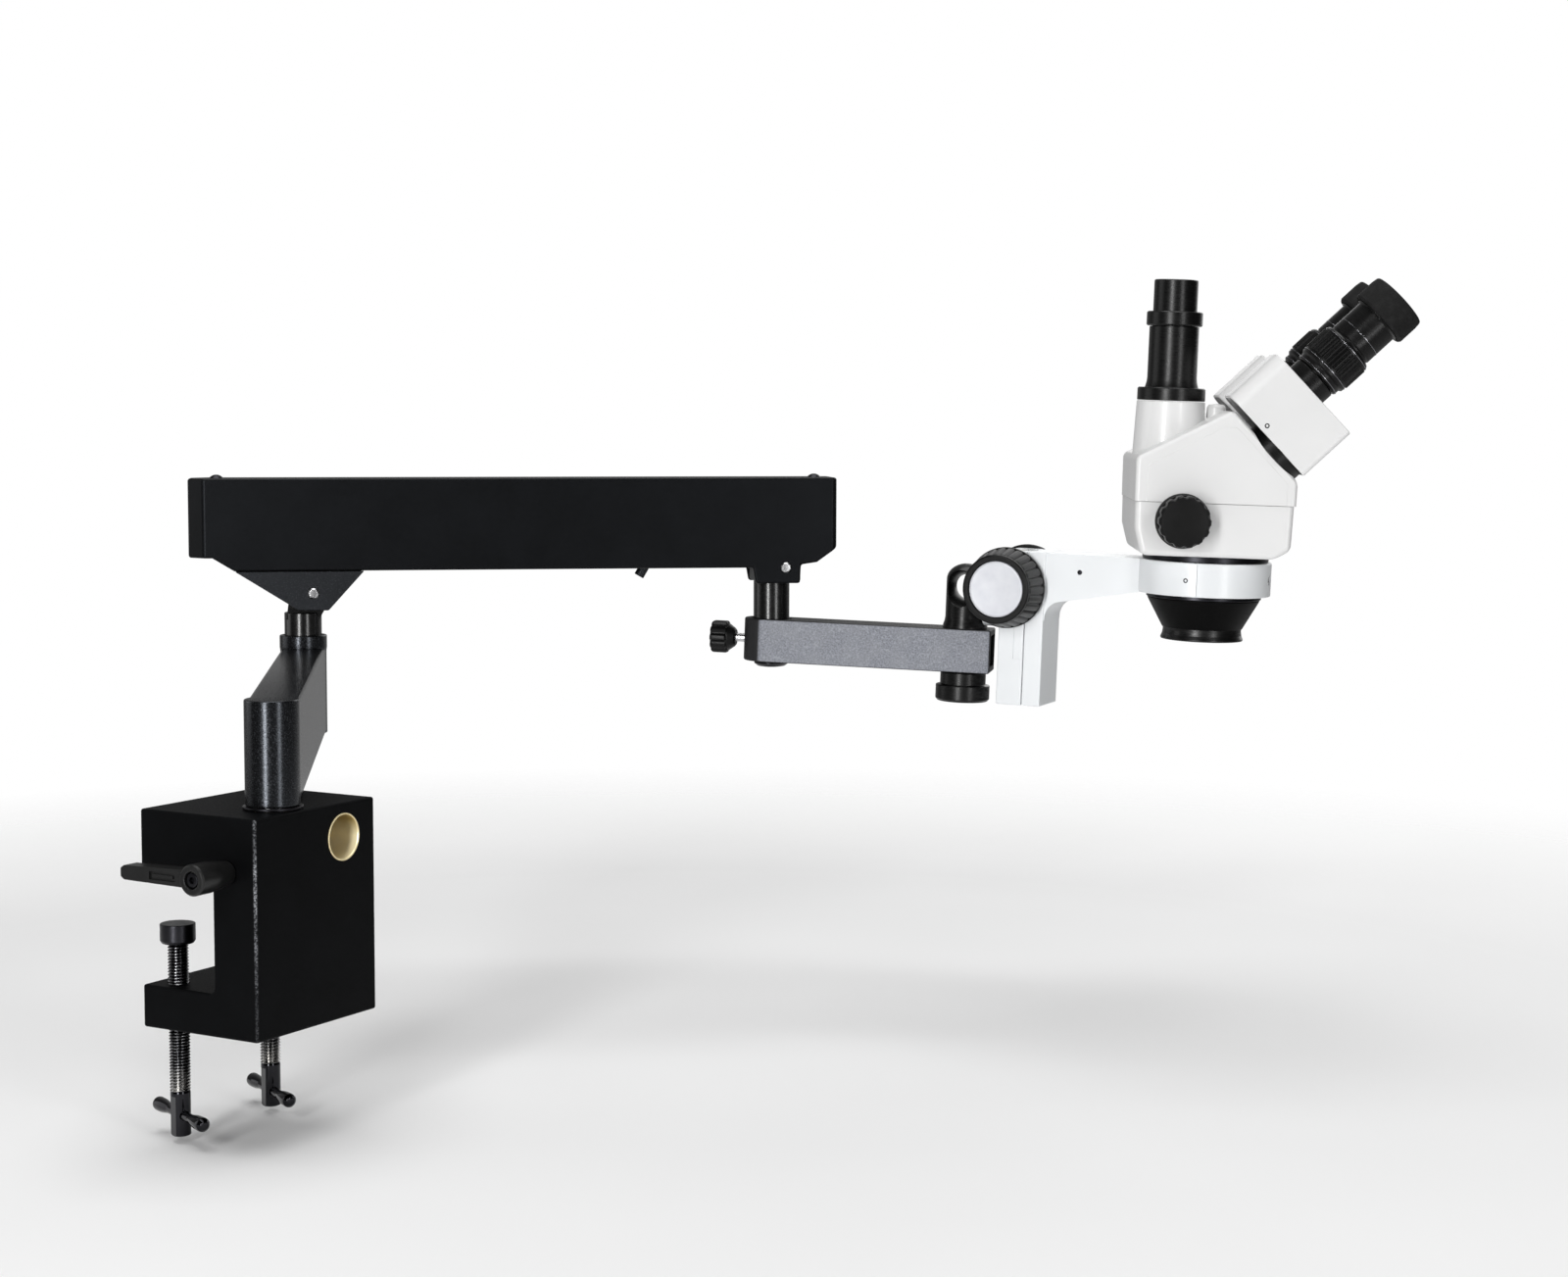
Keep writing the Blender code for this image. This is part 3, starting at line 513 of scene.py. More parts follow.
def thread_steel():
    """Screw thread: painted highlight on the crests, painted shade near black in the grooves, and scraped
    bare near its lower end.
    """
    finish = Finish("thread_steel", (0.3, 0.3, 0.31), 0.22, 1.0)
    split = finish.add("ShaderNodeSeparateXYZ", Vector=finish.where)
    x = finish.math("ABSOLUTE", split.outputs["X"])
    radius = finish.from_axis(x, split.outputs["Y"], (SCREW_X, SCREW_Y))
    # Painted highlight and shade: the crests are painted bright and the grooves near black
    crest = finish.spread(radius, 0.0, 1.0, (SCREW_R - 0.65) * MM, (SCREW_R - 0.1) * MM)
    bare = finish.spread(split.outputs["Z"], 1.0, 0.0, -119 * MM, -106 * MM)
    grime = finish.noise(3.0, 3.0)
    ridge = finish.blend(finish.spread(grime), (0.27, 0.27, 0.28), (0.40, 0.40, 0.41))
    colour = finish.blend(crest, (0.006, 0.006, 0.007), ridge)
    scraped = finish.math("MULTIPLY", bare, finish.spread(grime, 0.35, 1.0))
    return finish.colour(finish.blend(scraped, colour, (0.5, 0.49, 0.47))).grained(grime, 0.16, 0.30, 0.08,
                                                                                   0.02)


def socket_brass():
    """Brass turned about its Y axis: the bore is painted brighter than the outer brass, with painted shade
    towards its roof.
    """
    finish = Finish("brass", (1.0, 0.86, 0.50), 0.32, 0.35)
    rings, blotch = finish.noise(1.0, 3.0, finish.stretched(0.12, 3.0, 0.12)), finish.noise(9.0, 2.0)
    split = finish.add("ShaderNodeSeparateXYZ", Vector=finish.where)
    radius = finish.from_axis(split.outputs["X"], split.outputs["Z"], (SOCKET[0], SOCKET[2]))
    # Painted light: inside the bore the brass is painted brighter than outside
    inside = finish.spread(radius, 1.0, 0.0, (SOCKET_R + 0.15) * MM, (SOCKET_R + 0.35) * MM)
    # Painted shade: the bore darkens towards its roof
    roof = finish.spread(split.outputs["Z"], 0.0, 1.0, (SOCKET[2] - 1.0) * MM, (SOCKET[2] + 9.0) * MM)
    colour = finish.blend(finish.spread(blotch, 0.0, 0.5), (1.0, 0.90, 0.60), (0.95, 0.81, 0.46))
    bore = finish.blend(roof, colour, (0.34, 0.24, 0.08))
    return finish.colour(finish.blend(inside, (0.74, 0.63, 0.37), bore)).grained(rings, 0.28, 0.38, 0.05,
                                                                                 0.02)


def brushed_disc():
    """Pale satin insert of the focus knobs, with a fine grain and a soft cloud."""
    finish = Finish("brushed_disc", (0.62, 0.63, 0.66), 0.5, metallic=0.1)
    fine, cloud = finish.noise(0.6, 4.0), finish.noise(10.0, 2.0)
    finish.colour(finish.blend(finish.spread(cloud), (0.57, 0.58, 0.62), (0.65, 0.66, 0.69)))
    return finish.grained(fine, 0.4, 0.58, 0.25, 0.02)


def coated_glass():
    finish = Finish("coated_glass", (0.5, 0.72, 0.68), 0.03, Transmission_Weight=0.85, IOR=1.52,
                    Coat_Weight=0.6, Coat_Roughness=0.02, Coat_Tint=(0.45, 0.9, 0.65, 1))
    dust = finish.spread(finish.noise(3.0, 3.0), 0.02, 0.07, 0.5, 0.8)
    finish.feed(finish.shader.inputs["Roughness"], dust)
    return finish.material


BLACK_BLOCK = powder_coat("block_black", 0.0012, 0.5, 0.06, 0.5, 0.06, rubbed=(BLOCK[0].x, BLOCK[0].y))
BLACK_ARM = powder_coat("arm_black", 0.002, 0.23, 0.5, 0.75, 0.06, fleck=0.12)
BLACK_COVER = powder_coat("cover_black", 0.0018, 0.38, 0.13, 0.6, 0.03)
BLACK_LUG = powder_coat("lug_black", 0.0035, 0.4, 0.3, 0.7, 0.05, fleck=0.2)
BLACK_POST = anodised("post_black", 0.003, 0.22, 0.6, 0.02)
ARM_PAINTED_REFLECTION = hammered_black_painted_reflection()
WHITE_HEAD = enamel("head_white", (0.74, 0.74, 0.738))
WHITE_MOUNT = enamel("mount_white", (0.77, 0.79, 0.805))
CHROME = turned_metal("chrome", (0.36, 0.36, 0.38), 0.18, 0.05, 0.05, (0.22, 0.22, 0.24))
DARK_CHROME = turned_metal("dark_chrome", (0.028, 0.028, 0.031), 0.10, 0.03, 0.04, (0.025, 0.025, 0.028))
THREAD_STEEL = thread_steel()
STEEL = turned_metal("turned_steel", (0.62, 0.62, 0.63), 0.28)
INNER_STEEL = turned_metal("inner_steel", (0.35, 0.35, 0.36), 0.35, local=False)
DARK_STEEL = turned_metal("blackened_steel", (0.03, 0.03, 0.034), 0.33)
BRASS = socket_brass()
BLACK_KNOB = moulded("knob_black", 0.0035, 0.36, shine=0.2)
BLACK_LEVER = moulded("lever_black", 0.007, 0.34, 0.7)
FLANK = moulded("knob_flank", 0.02, 0.34, 0.4)
BLACK_TUBE = anodised("tube_black", 0.0025, 0.3, 0.3)
BLACK_GLOSS = anodised("barrel_black", 0.002, 0.3, 0.4)
BLACK_CONE = anodised("cone_black", 0.001, 0.4, 0.07)
RUBBER = rubber()
DISC = brushed_disc()
GLASS = coated_glass()


# ---- clamp

THREAD_PITCH = 1.75
LEVER_Z = 10.0


def clamp():
    low, high = BLOCK
    jaw_top, spine = -59.2, -26.25
    outline = [(low.y, low.z), (high.y, low.z), (high.y, jaw_top)]
    outline += arc(spine + 4, jaw_top + 4, 4, 270, 180, 6) + [(spine, 0.0)]
    outline += [(high.y, 0.0), (high.y, DECK), (low.y, DECK)]
    body = Piece("clamp_casting", "clamp_block", slab(outline, low.x, high.x, axis="X"), BASE, BLACK_BLOCK)
    body.soften(1.5, 4)
    foot = POST_A / MM
    body.cut(rod(15.2, 5.5, DECK + 5, at=(foot.x, foot.y, 0)))
    body.cut(rod(13.9, low.y - 5, low.y + 58.3, "Y", SOCKET))
    body.cut(rod(5.3, low.x - 5, foot.x - 12, "X", (0, foot.y, LEVER_Z)))
    for side in (-1, 1):
        body.cut(rod(SCREW_R + 0.3, low.z - 5, jaw_top + 5, at=(side * SCREW_X, SCREW_Y, 0)))
    mouth = low.y
    sleeve = [(SOCKET_R, mouth + 0.2), (13.0, mouth - 0.6), (13.7, mouth - 0.6), (13.7, mouth + 58),
              (0, mouth + 58), (0, mouth + 56), (3.2, mouth + 54.2), (12.2, mouth + 52),
              (SOCKET_R, mouth + 51)]
    Piece("socket_sleeve", "side_socket", turned(sleeve, 0.3, "Y", SOCKET), BASE, BRASS)
    bush = [(12.8, 6.2), (14.9, 6.2), (14.9, DECK - 0.3), (12.8, DECK - 0.3)]
    Piece("pivot_bushing", "arm_bushing", lathe(bush, at=(foot.x, foot.y, 0)), BASE, BRASS)


def clamp_screws():
    for number, side, height, heading in ((1, -1, -135.0, 66.6), (2, 1, -138.0, 61.6)):
        at = (side * SCREW_X, SCREW_Y, 0)
        pad = [(0, -25.0), (0, -28.9), (4.4, -28.9), (4.4, -36.2), (9.0, -36.2), (10.0, -34.6),
               (10.0, -25.0)]
        Piece(f"swivel_pad_{number}", f"clamp_pad_{number}", turned(pad, 0.7, at=at), BASE, DARK_STEEL)
        rail = thread(SCREW_R, 0.9, -121.5, -38.0, THREAD_PITCH, at)
        Piece(f"screw_thread_{number}", f"clamp_screw_{number}", rail, BASE, THREAD_STEEL)
        neck = [(0, -29.3), (3.6, -29.3), (4.1, -29.9), (4.1, -36.8), (5.2, -37.8), (5.2, -39), (0, -39)]
        detail(f"screw_nose_{number}", f"clamp_screw_{number}", turned(neck, 0.3, at=at), BASE,
               THREAD_STEEL)
        tail = [(0, -120.5), (5.2, -120.5), (5.75, -122.2), (5.75, -146.4), (4.9, -147.0), (0, -147.0)]
        shank = detail(f"screw_tail_{number}", f"clamp_screw_{number}", turned(tail, 0.5, at=at), BASE,
                       DARK_CHROME)
        flat = spun(box((4.6, 9), (-8, 8), (-150, -124)), heading + 90, "Z")
        shank.cut(moved(flat, *at))
        shank.cut(moved(spun(rod(3.0, -12, 12, "X"), heading, "Z"), at[0], at[1], height))
        bar = [(0, -32), (2.4, -31.7), (4.0, -29.8), (4.2, -28.2), (4.0, -22), (2.9, -15.5), (2.8, -13)]
        bar += [(r, -x) for r, x in reversed(bar)]
        shape = moved(spun(turned(bar, 1.0, "X", steps=48), heading, "Z"), at[0], at[1], height)
        Piece(f"tommy_bar_{number}", f"t_bar_{number}", shape, BASE, DARK_CHROME)


def lock_lever():
    y, z, face = POST_A.y / MM, LEVER_Z, BLOCK[0].x
    at = (0, y, z)
    hub = [(0, face - 22), (5.5, face - 22), (5.5, face - 0.8), (6.6, face - 0.8), (8.4, face - 14),
           (8.8, face - 17), (8.8, face - 28.5), (7.9, face - 29.5), (4.9, face - 29.5), (4.9, face - 25.5),
           (0, face - 25.5)]
    lever = Piece("lever_hub", "lock_lever", turned(hub, 0.6, "X", at), BASE, BLACK_LEVER)
    arm = [(y + 5, z - 4.6), (y + 49.5, z - 3.9), (y + 52, z - 2.2), (y + 52, z + 2.6), (y + 49.5, z + 4.2),
           (y + 5, z + 5.2)]
    rail = detail("lever_arm", "lock_lever", slab(rounded(arm, 1.5), face - 28.6, face - 18.5, axis="X"),
                  BASE, BLACK_LEVER)
    rail.cut(rod(6.5, face - 32, face - 15, "X", at))
    rail.soften(0.9)
    rail.cut(box((face - 31, face - 27.5), (y + 12.5, y + 31), (z - 2.1, z + 2.5)))
    rail.join(box((face - 28.2, face - 27.0), (y + 14.2, y + 29.3), (z - 0.7, z + 1.1)))
    screw = [(0, face - 28.7), (3.9, face - 28.7), (3.9, face - 25.7), (0, face - 25.7)]
    head = detail("lever_cap_screw", "lock_lever", turned(screw, 0.5, "X", at), BASE, DARK_STEEL)
    head.cut(rod(2.1, face - 31, face - 26.6, "X", at, 6))
    Piece("lever_shank", "lever_stud", rod(5.0, face - 21.5, POST_A.x / MM - 15.3, "X", at), BASE, STEEL)


# ---- arms

ARM_LONG = (POST_B - POST_A).length / MM


def lower_arm():
    half = 14.9
    web = arc(0, 0, half, 90, 270, 24) + arc(ARM_LONG, 0, half, -90, 90, 24)
    arm = Piece("arm_casting", "lower_arm", slab(web, 2.6, 60.0, axis="Z"), LOWER, BLACK_ARM)
    arm.soften(2.4, 4, 60)
    near = [(0, 2.1), (15.5, 2.1), (15.5, 62.0), (0, 62.0)]
    arm.join(turned(near, 1.1))
    far = [(0, 2.1), (15.5, 2.1), (15.5, 58.0), (15.9, 61.0), (15.9, 69.1), (0, 69.1)]
    arm.join(turned(far, 0.9, at=(ARM_LONG, 0, 0)))
    arm.cut(rod(POST_R + 0.3, -5, 46))
    arm.cut(rod(14.3, 14, 75, at=(ARM_LONG, 0, 0)))
    washer = [(12.9, 0.3), (17.0, 0.3), (17.0, 1.8), (12.9, 1.8)]
    Piece("thrust_washer", "arm_washer", turned(washer, 0.4), LOWER, DARK_STEEL)
    Piece("pivot_pin", "lower_arm_pin", rod(POST_R, 6.5 - DECK, 45.5), LOWER, STEEL)
    bush = [(12.8, 14.4), (14.0, 14.4), (14.0, 68.7), (12.8, 68.7)]
    Piece("post_sleeve", "post_bushing", turned(bush, 0.3, at=(ARM_LONG, 0, 0)), LOWER, DARK_STEEL)


PIN_LEFT, PIN_RIGHT, LINK_RISE = (7.4, 98.5), (329.5, 113.6), 34.0
HOUSING_X, HOUSING_HALF, HOUSING_LOW, HOUSING_TOP = (-75.0, 365.2), 19.4, 113.5, 175.5


def lower_post():
    x, z = PIN_LEFT
    top = z + LINK_RISE
    stem = [(0, 15.0), (POST_R, 15.0), (POST_R, 84.5), (0, 84.5)]
    post = Piece("post_stem", "lower_post", turned(stem, 0.8), SPRING, BLACK_POST)
    tongue = [(-11, 80), (11, 80), (x + 8, 88), (x + 8, top)] + arc(x, top, 8, 0, 180, 16)[1:] + [(-9, 95)]
    post.join(slab(tongue, -7.5, 7.5))
    post.cut(rod(3.9, -20, 20, "Y", (x, 0, z)))
    post.cut(rod(3.3, -20, 20, "Y", (x, 0, top)))


def spring_arm():
    x0, x1 = HOUSING_X
    low, top, half = HOUSING_LOW, HOUSING_TOP, HOUSING_HALF
    side = [(x0, top), (x0, 122.3), (-59, 122.3), (-44.6, low), (306.5, low), (308.5, 102.6),
            (339.3, 102.6), (340, 115.5), (351.2, 117.1), (x1, 127), (x1, top)]
    cover = Piece("arm_cover", "arm_housing", slab(side, -half, half), SPRING, BLACK_COVER)
    corner = 10.4
    plan = [(x0 + corner, half), (x0, half - corner), (x0, corner - half), (x0 + corner, -half)]
    plan += arc(x1 - 4, -half + 4, 4, 270, 360, 6) + arc(x1 - 4, half - 4, 4, 0, 90, 6)
    cover.within(slab(plan, 80, 200, axis="Z"))
    cover.soften(1.6, 4, 35)
    inner = half - 3.2
    cover.cut(box((x0 + 12, x1 - 4), (-inner, inner), (90, 172.3)))
    x, z = PIN_RIGHT
    cover.cut(rod(3.9, -30, 30, "Y", (x, 0, z)))
    detail("cover_floor", "arm_housing", box((50, 296), (-inner + 0.1, inner - 0.1), (low + 0.1, low + 3)),
           SPRING, BLACK_COVER)
    for index, place_x in enumerate((-56.5, 351.9)):
        dome = [(0, top - 2), (5.2, top - 2), (5.2, top - 0.4)] + arc(0, top - 3.6, 6.0, 36, 90, 6)[:-1]
        dome += [(0, top + 2.0)]
        detail(f"cover_screw_{index}", "arm_housing", turned(dome, 0.2, at=(place_x, 0, 0)), SPRING,
               DARK_STEEL)

    side = rounded([(-44.2, low - 0.3), (-2.4, 86.9), (17.4, 86.8), (41.2, low - 0.3)], 2.0, keep=(0, 3))
    bracket = Piece("pivot_plate", "pivot_bracket", slab(side, -half, half), SPRING, BLACK_LUG)
    bracket.soften(0.7, 3)
    hollow = [(-36, 120), (-36, 111.6), (-16.2, 99.2), (-16.2, 80), (50, 80), (50, 120)]
    bracket.cut(slab(hollow, -14.6, 14.6))
    bracket.cut(rod(3.9, -30, 30, "Y", (PIN_LEFT[0], 0, PIN_LEFT[1])))
    for name, (x, z) in (("pivot_pin_left", PIN_LEFT), ("pivot_pin_right", PIN_RIGHT)):
        pin = [(0, -20.6), (2.6, -20.6), (3.6, -19.6), (3.6, 19.6), (2.6, 20.6), (0, 20.6)]
        Piece(f"{name}_turned", name, turned(pin, 0.5, "Y", (x, 0, z)), SPRING, STEEL)
    at = (232, 0, 112)
    lug = [(0, -5.5), (3.5, -5.5), (3.5, 14), (0, 14)]
    Piece("tension_stud", "tension_screw", spun(turned(lug, 0.6, at=at), 30, "Y", at), SPRING, BLACK_LUG)


def upper_post():
    x, z = PIN_RIGHT
    top = z + LINK_RISE
    yoke = Piece("yoke_block", "end_yoke", box((308.5, 340.5), (-13.2, 13.2), (104.0, 121.0)), SPRING,
                 BLACK_LUG)
    yoke.soften(0.8)
    head = [(314, 118), (340.5, 118), (x + 8, top)] + arc(x, top, 8, 0, 180, 16)[1:]
    yoke.join(slab(head, -7.5, 7.5))
    yoke.cut(rod(3.9, -30, 30, "Y", (x, 0, z)))
    yoke.cut(rod(3.3, -30, 30, "Y", (x, 0, top)))
    yoke.cut(rod(POST_R + 0.3, 90, 112, at=((POST_C - POST_B).length / MM, 0, 0)))
    outline = [(0, 111.5), (0, 47.3), (5.6, 47.3), (5.6, 51.6), (POST_R, 51.6), (POST_R, 111.5)]
    post = Piece("upper_stem", "upper_post", turned(outline, 0.5), UPPER, BLACK_POST)
    post.cut(rod(4.2, -30, 30, "Y", (x, 0, z)), SPRING)
    cap = [(0, 46.9), (12.0, 46.9), (12.0, 45.8), (9.5, 43.9), (5, 43.2), (0, 43.2)]
    Piece("stem_cap", "post_cap", turned(cap, 0.6), UPPER, DARK_STEEL)


def extension_arm():
    half, deep, end, eye = 15.5, 14.9, 155.0, 135.6
    outline = arc(-3.5, 0, half, 90, 270, 32) + [(end, -half), (end, half)]
    arm = Piece("extension_casting", "extension_arm", slab(outline, -deep, deep, axis="Z"), EXTENSION,
                ARM_PAINTED_REFLECTION)
    arm.soften(1.2, 4, 60)
    arm.cut(box((32, end + 5), (-11.5, 11.5), (-10.9, 10.9)))
    arm.cut(rod(12.6, -30, 30, at=(eye, 0, 0)))
    arm.cut(rod(14.2, 51.2, 90), UPPER)
    arm.cut(rod(6.6, 30, 60), UPPER)
    arm.cut(rod(3.3, -40, -10, "X"))
    bush = [(12.8, 51.9), (13.9, 51.9), (13.9, 76.2), (12.8, 76.2)]
    Piece("upper_sleeve", "extension_bushing", lathe(bush), UPPER, DARK_STEEL)
    stud = [(0, -15.2), (3.0, -15.2), (3.0, -27.0), (0, -27.0)]
    Piece("thumb_stud", "thumb_screw", turned(stud, 0.3, "X"), EXTENSION, STEEL)
    hub = [(0, -25), (5.4, -25), (6.6, -26), (9.4, -30.0), (9.6, -32.5), (0, -32.5)]
    detail("thumb_hub", "thumb_screw", turned(hub, 0.8, "X"), EXTENSION, BLACK_KNOB)
    detail("thumb_knob", "thumb_screw", grip(scalloped(11.4, 1.7, 10, 10, 0.62), (-30.6, -42.1), 0.10, "X"),
           EXTENSION, BLACK_KNOB)


# ---- focus mount

PIN_Z, EYE_Z = 26.0, 43.5
PINION = (36.0, 46.2)
FIXED_X, MOVING_X, RACK_Z, RACK_HALF = (30.5, 48.3), (48.7, 61.6), (-33.4, 71.2), 19.0
RING_X, RING_R, RING_BORE, RING_Z = 166.2, 43.7, 38.2, (49.4, 71.4)


def swivel_post():
    dome = [(13.9 * math.sin(math.radians(t)), 48.4 + 11 * math.cos(math.radians(t))) for t in range(0, 91,
                                                                                                     9)]
    outline = [(0, -15.3), (12.3, -15.3), (12.3, 15.3), (15.4, 15.3), (15.2, 17.3), (14.4, 19.6),
               (13.9, 22.5)]
    post = Piece("eye_post", "swivel_post", lathe(outline + dome[:0:-1] + [(0, 59.4)]), EYE, BLACK_TUBE)
    flare = [(0, -30)] + [(8.3 + 3.6 * (y / 11.4) ** 2, y) for y in range(-14, 15, 2)] + [(0, 30)]
    post.cut(lathe(flare, "Y", (0, 0, EYE_Z)), MOUNT)
    post.cut(rod(6.5, 2.0, 30, "X", (0, 0, PIN_Z)), MOUNT)
    post.soften(0.6, 3, 50)
    cap = [(0, -15.6), (15.7, -15.6), (15.7, -23.8), (18.6, -24.4), (18.6, -33.8), (17.2, -35.4),
           (0, -35.4)]
    Piece("swivel_knob", "swivel_cap", turned(cap, 0.7), EYE, BLACK_TUBE)


def focus_mount():
    low, high = RACK_Z
    body = Piece("rack_guide", "focus_body", box(FIXED_X, (-RACK_HALF, RACK_HALF), (low - 0.2, high)),
                 MOUNT, WHITE_MOUNT)
    body.soften(0.9, 4)
    body.join(rod(8.4, 14.6, 34, "X", (0, 0, PIN_Z)))
    rail = [(55, -8.2), (48.9, -8.2), (44.2, -11.2), (40.4, -11.2), (40.4, 11.2), (44.2, 11.2), (48.9, 8.2),
            (55, 8.2)]
    body.cut(slab(rail, low - 5, high + 5, axis="Z"))
    body.cut(rod(6.5, 10, 39.0, "X", (0, 0, PIN_Z)))
    body.cut(rod(4.9, -30, 30, "Y", (PINION[0], 0, PINION[1])))
    for y in (-RACK_HALF, RACK_HALF):
        span = sorted((y * 0.975, y * 1.05))
        body.cut(box((41.5, 41.9), span, (-1.8, high + 2)))
        body.cut(box((41.5, FIXED_X[1] + 1), span, (-2.2, -1.8)))
    Piece("mount_stud", "mount_pin", rod(6.2, 2.6, 38.6, "X", (0, 0, PIN_Z)), MOUNT, STEEL)
    axle = (PINION[0], 0, PINION[1])
    Piece("pinion_axle", "pinion_shaft", rod(3.6, -40, 40, "Y", axle), MOUNT, STEEL)
    gear = moved(slab(scalloped(4.55, 0.7, 8), -5.5, 5.5, axis="Y"), axle[0], 0, axle[2])
    detail("pinion_gear", "pinion_shaft", gear, MOUNT, BRASS)
    for side, name in ((-1, "left"), (1, "right")):
        focus_knob(side, name, axle)


def focus_knob(side, name, axle):
    """A coned knob: wide by the mount, ribbed on its flank, with a pale dished disc in its end."""
    node = f"focus_knob_{name}"
    rim = [(3.9, 21.5), (26.6, 21.5), (27.4, 22.3), (27.4, 24.5), (25.6, 25.4), (22.1, 42.2), (23.2, 43.4),
           (23.2, 45.4), (22.2, 46.2), (19.6, 46.2), (18.9, 44.2), (3.9, 42.6)]
    Piece(f"focus_wheel_{name}", node, sided(rim, 0.5, side, axle), MOUNT, BLACK_KNOB)
    ribbed = ((25.0, 26.9), (26.2, 26.9), (41.0, 23.6), (42.0, 23.0))
    plain = ((42.0, 20.0), (25.0, 20.0))
    lands = []
    for y, radius in ribbed + plain:
        ring = scalloped(radius, 1.1 if (y, radius) in ribbed else 0.0, 26, 8, 0.35)
        lands.append([(a + axle[0], side * y, b + axle[2]) for a, b in ring])
    detail(f"focus_flank_{name}", node, loft(lands, closed=True), MOUNT, FLANK)
    dish = [(0, 43.2), (18.8, 43.2), (18.8, 44.9), (17.4, 45.2), (9.0, 44.6), (0, 44.35)]
    detail(f"focus_disc_{name}", node, sided(dish, 0.8, side, axle), MOUNT, DISC)


def focus_slide():
    low, high = RACK_Z
    x0, x1 = MOVING_X
    arm = Piece("holder_plate", "holder_arm", box((x0, x1), (-RACK_HALF, RACK_HALF), (low, high)), MOUNT,
                WHITE_MOUNT)
    arm.soften(0.9, 4)
    side = [(x0 + 4, 25), (x1 + 0.4, 25)] + arc(x1 + 12.4, 26.6, 12, 180, 105, 10)
    side += [(131, RING_Z[0]), (150, RING_Z[0]), (150, high - 0.3), (x0 + 4, high - 0.3)]
    arm.join(slab(side, -17.6, 17.6))
    rail = [(x0 + 3, -5.6), (44.6, -10.4), (44.6, 10.4), (x0 + 3, 5.6)]
    arm.join(slab(rail, low + 0.9, high - 0.9, axis="Z"))
    ring = [(0, RING_Z[0] - 0.3), (RING_R, RING_Z[0] - 0.3), (RING_R, RING_Z[1]), (0, RING_Z[1])]
    arm.join(turned(ring, 1.0, at=(RING_X, 0, 0), steps=128))
    arm.cut(rod(3.3, RING_X + 30, RING_X + 60, "X", (0, 0, 60.4)))
    arm.cut(rod(RING_BORE, RING_Z[0] - 9, RING_Z[1] + 9, at=(RING_X, 0, 0), steps=128))
    arm.cut(rod(1.7, -19, -15.6, "Y", (85.5, 0, 59.1)))
    seam = box((RING_X - 0.3, RING_X + 0.3), (-RING_R - 1, -RING_R + 1.0), (RING_Z[0] - 2, RING_Z[1] + 2))
    arm.cut(spun(seam, 8, "Z", (RING_X, 0, 0)))
    for index, (x, y, z) in enumerate(((85.5, -17.4, 59.1), (164.9, -RING_R + 0.2, 59.8))):
        set_screw(f"holder_screw_{index}", "holder_arm", x, y, z, MOUNT)
    start, step, count = -30.0, 3.0, 33
    teeth = []
    for i in range(count):
        z = start + i * step
        teeth += [(41.7, z), (41.0, z + 0.35 * step), (41.0, z + 0.65 * step)]
    outline = [(44.2, start)] + teeth + [(41.7, start + count * step), (44.2, start + count * step)]
    Piece("rack_strip", "focus_rack", slab(outline, -5, 5), MOUNT, BRASS)
    inner, outer = RING_X + RING_BORE + 0.5, RING_X + RING_R - 0.6
    grub = [(0, inner), (3.0, inner), (3.0, outer), (1.6, outer), (1.6, outer - 2), (0, outer - 2)]
    Piece("ring_thumb_screw", "ring_screw", turned(grub, 0.3, "X", (0, 0, 60.4)), MOUNT, STEEL)


def set_screw(name, node, x, y, z, at, radius=1.6):
    """A headless socket screw, sunk into a face that looks along -Y."""
    body = [(0, y - 0.25), (radius, y - 0.25), (radius, y + 2.5), (0, y + 2.5)]
    screw = detail(name, node, turned(body, 0.25, "Y", (x, 0, z), 32), at, DARK_STEEL)
    screw.cut(rod(radius * 0.55, y - 3, y + 1.2, "Y", (x, 0, z), 6))


# ---- head

BODY_HALF, BODY_LOW, PARTING = 50.0, 75.8, 110.5
TOWER_X, ZOOM_AT = -27.7, (-22.0, 99.0)
PRISM_Y, PRISM_PIVOT, EYEPIECE_X = 31.0, -76.0, -94.1
PRISM_LONG, PRISM_DEEP = (-123.8, -54.0), (130.6, 171.0)


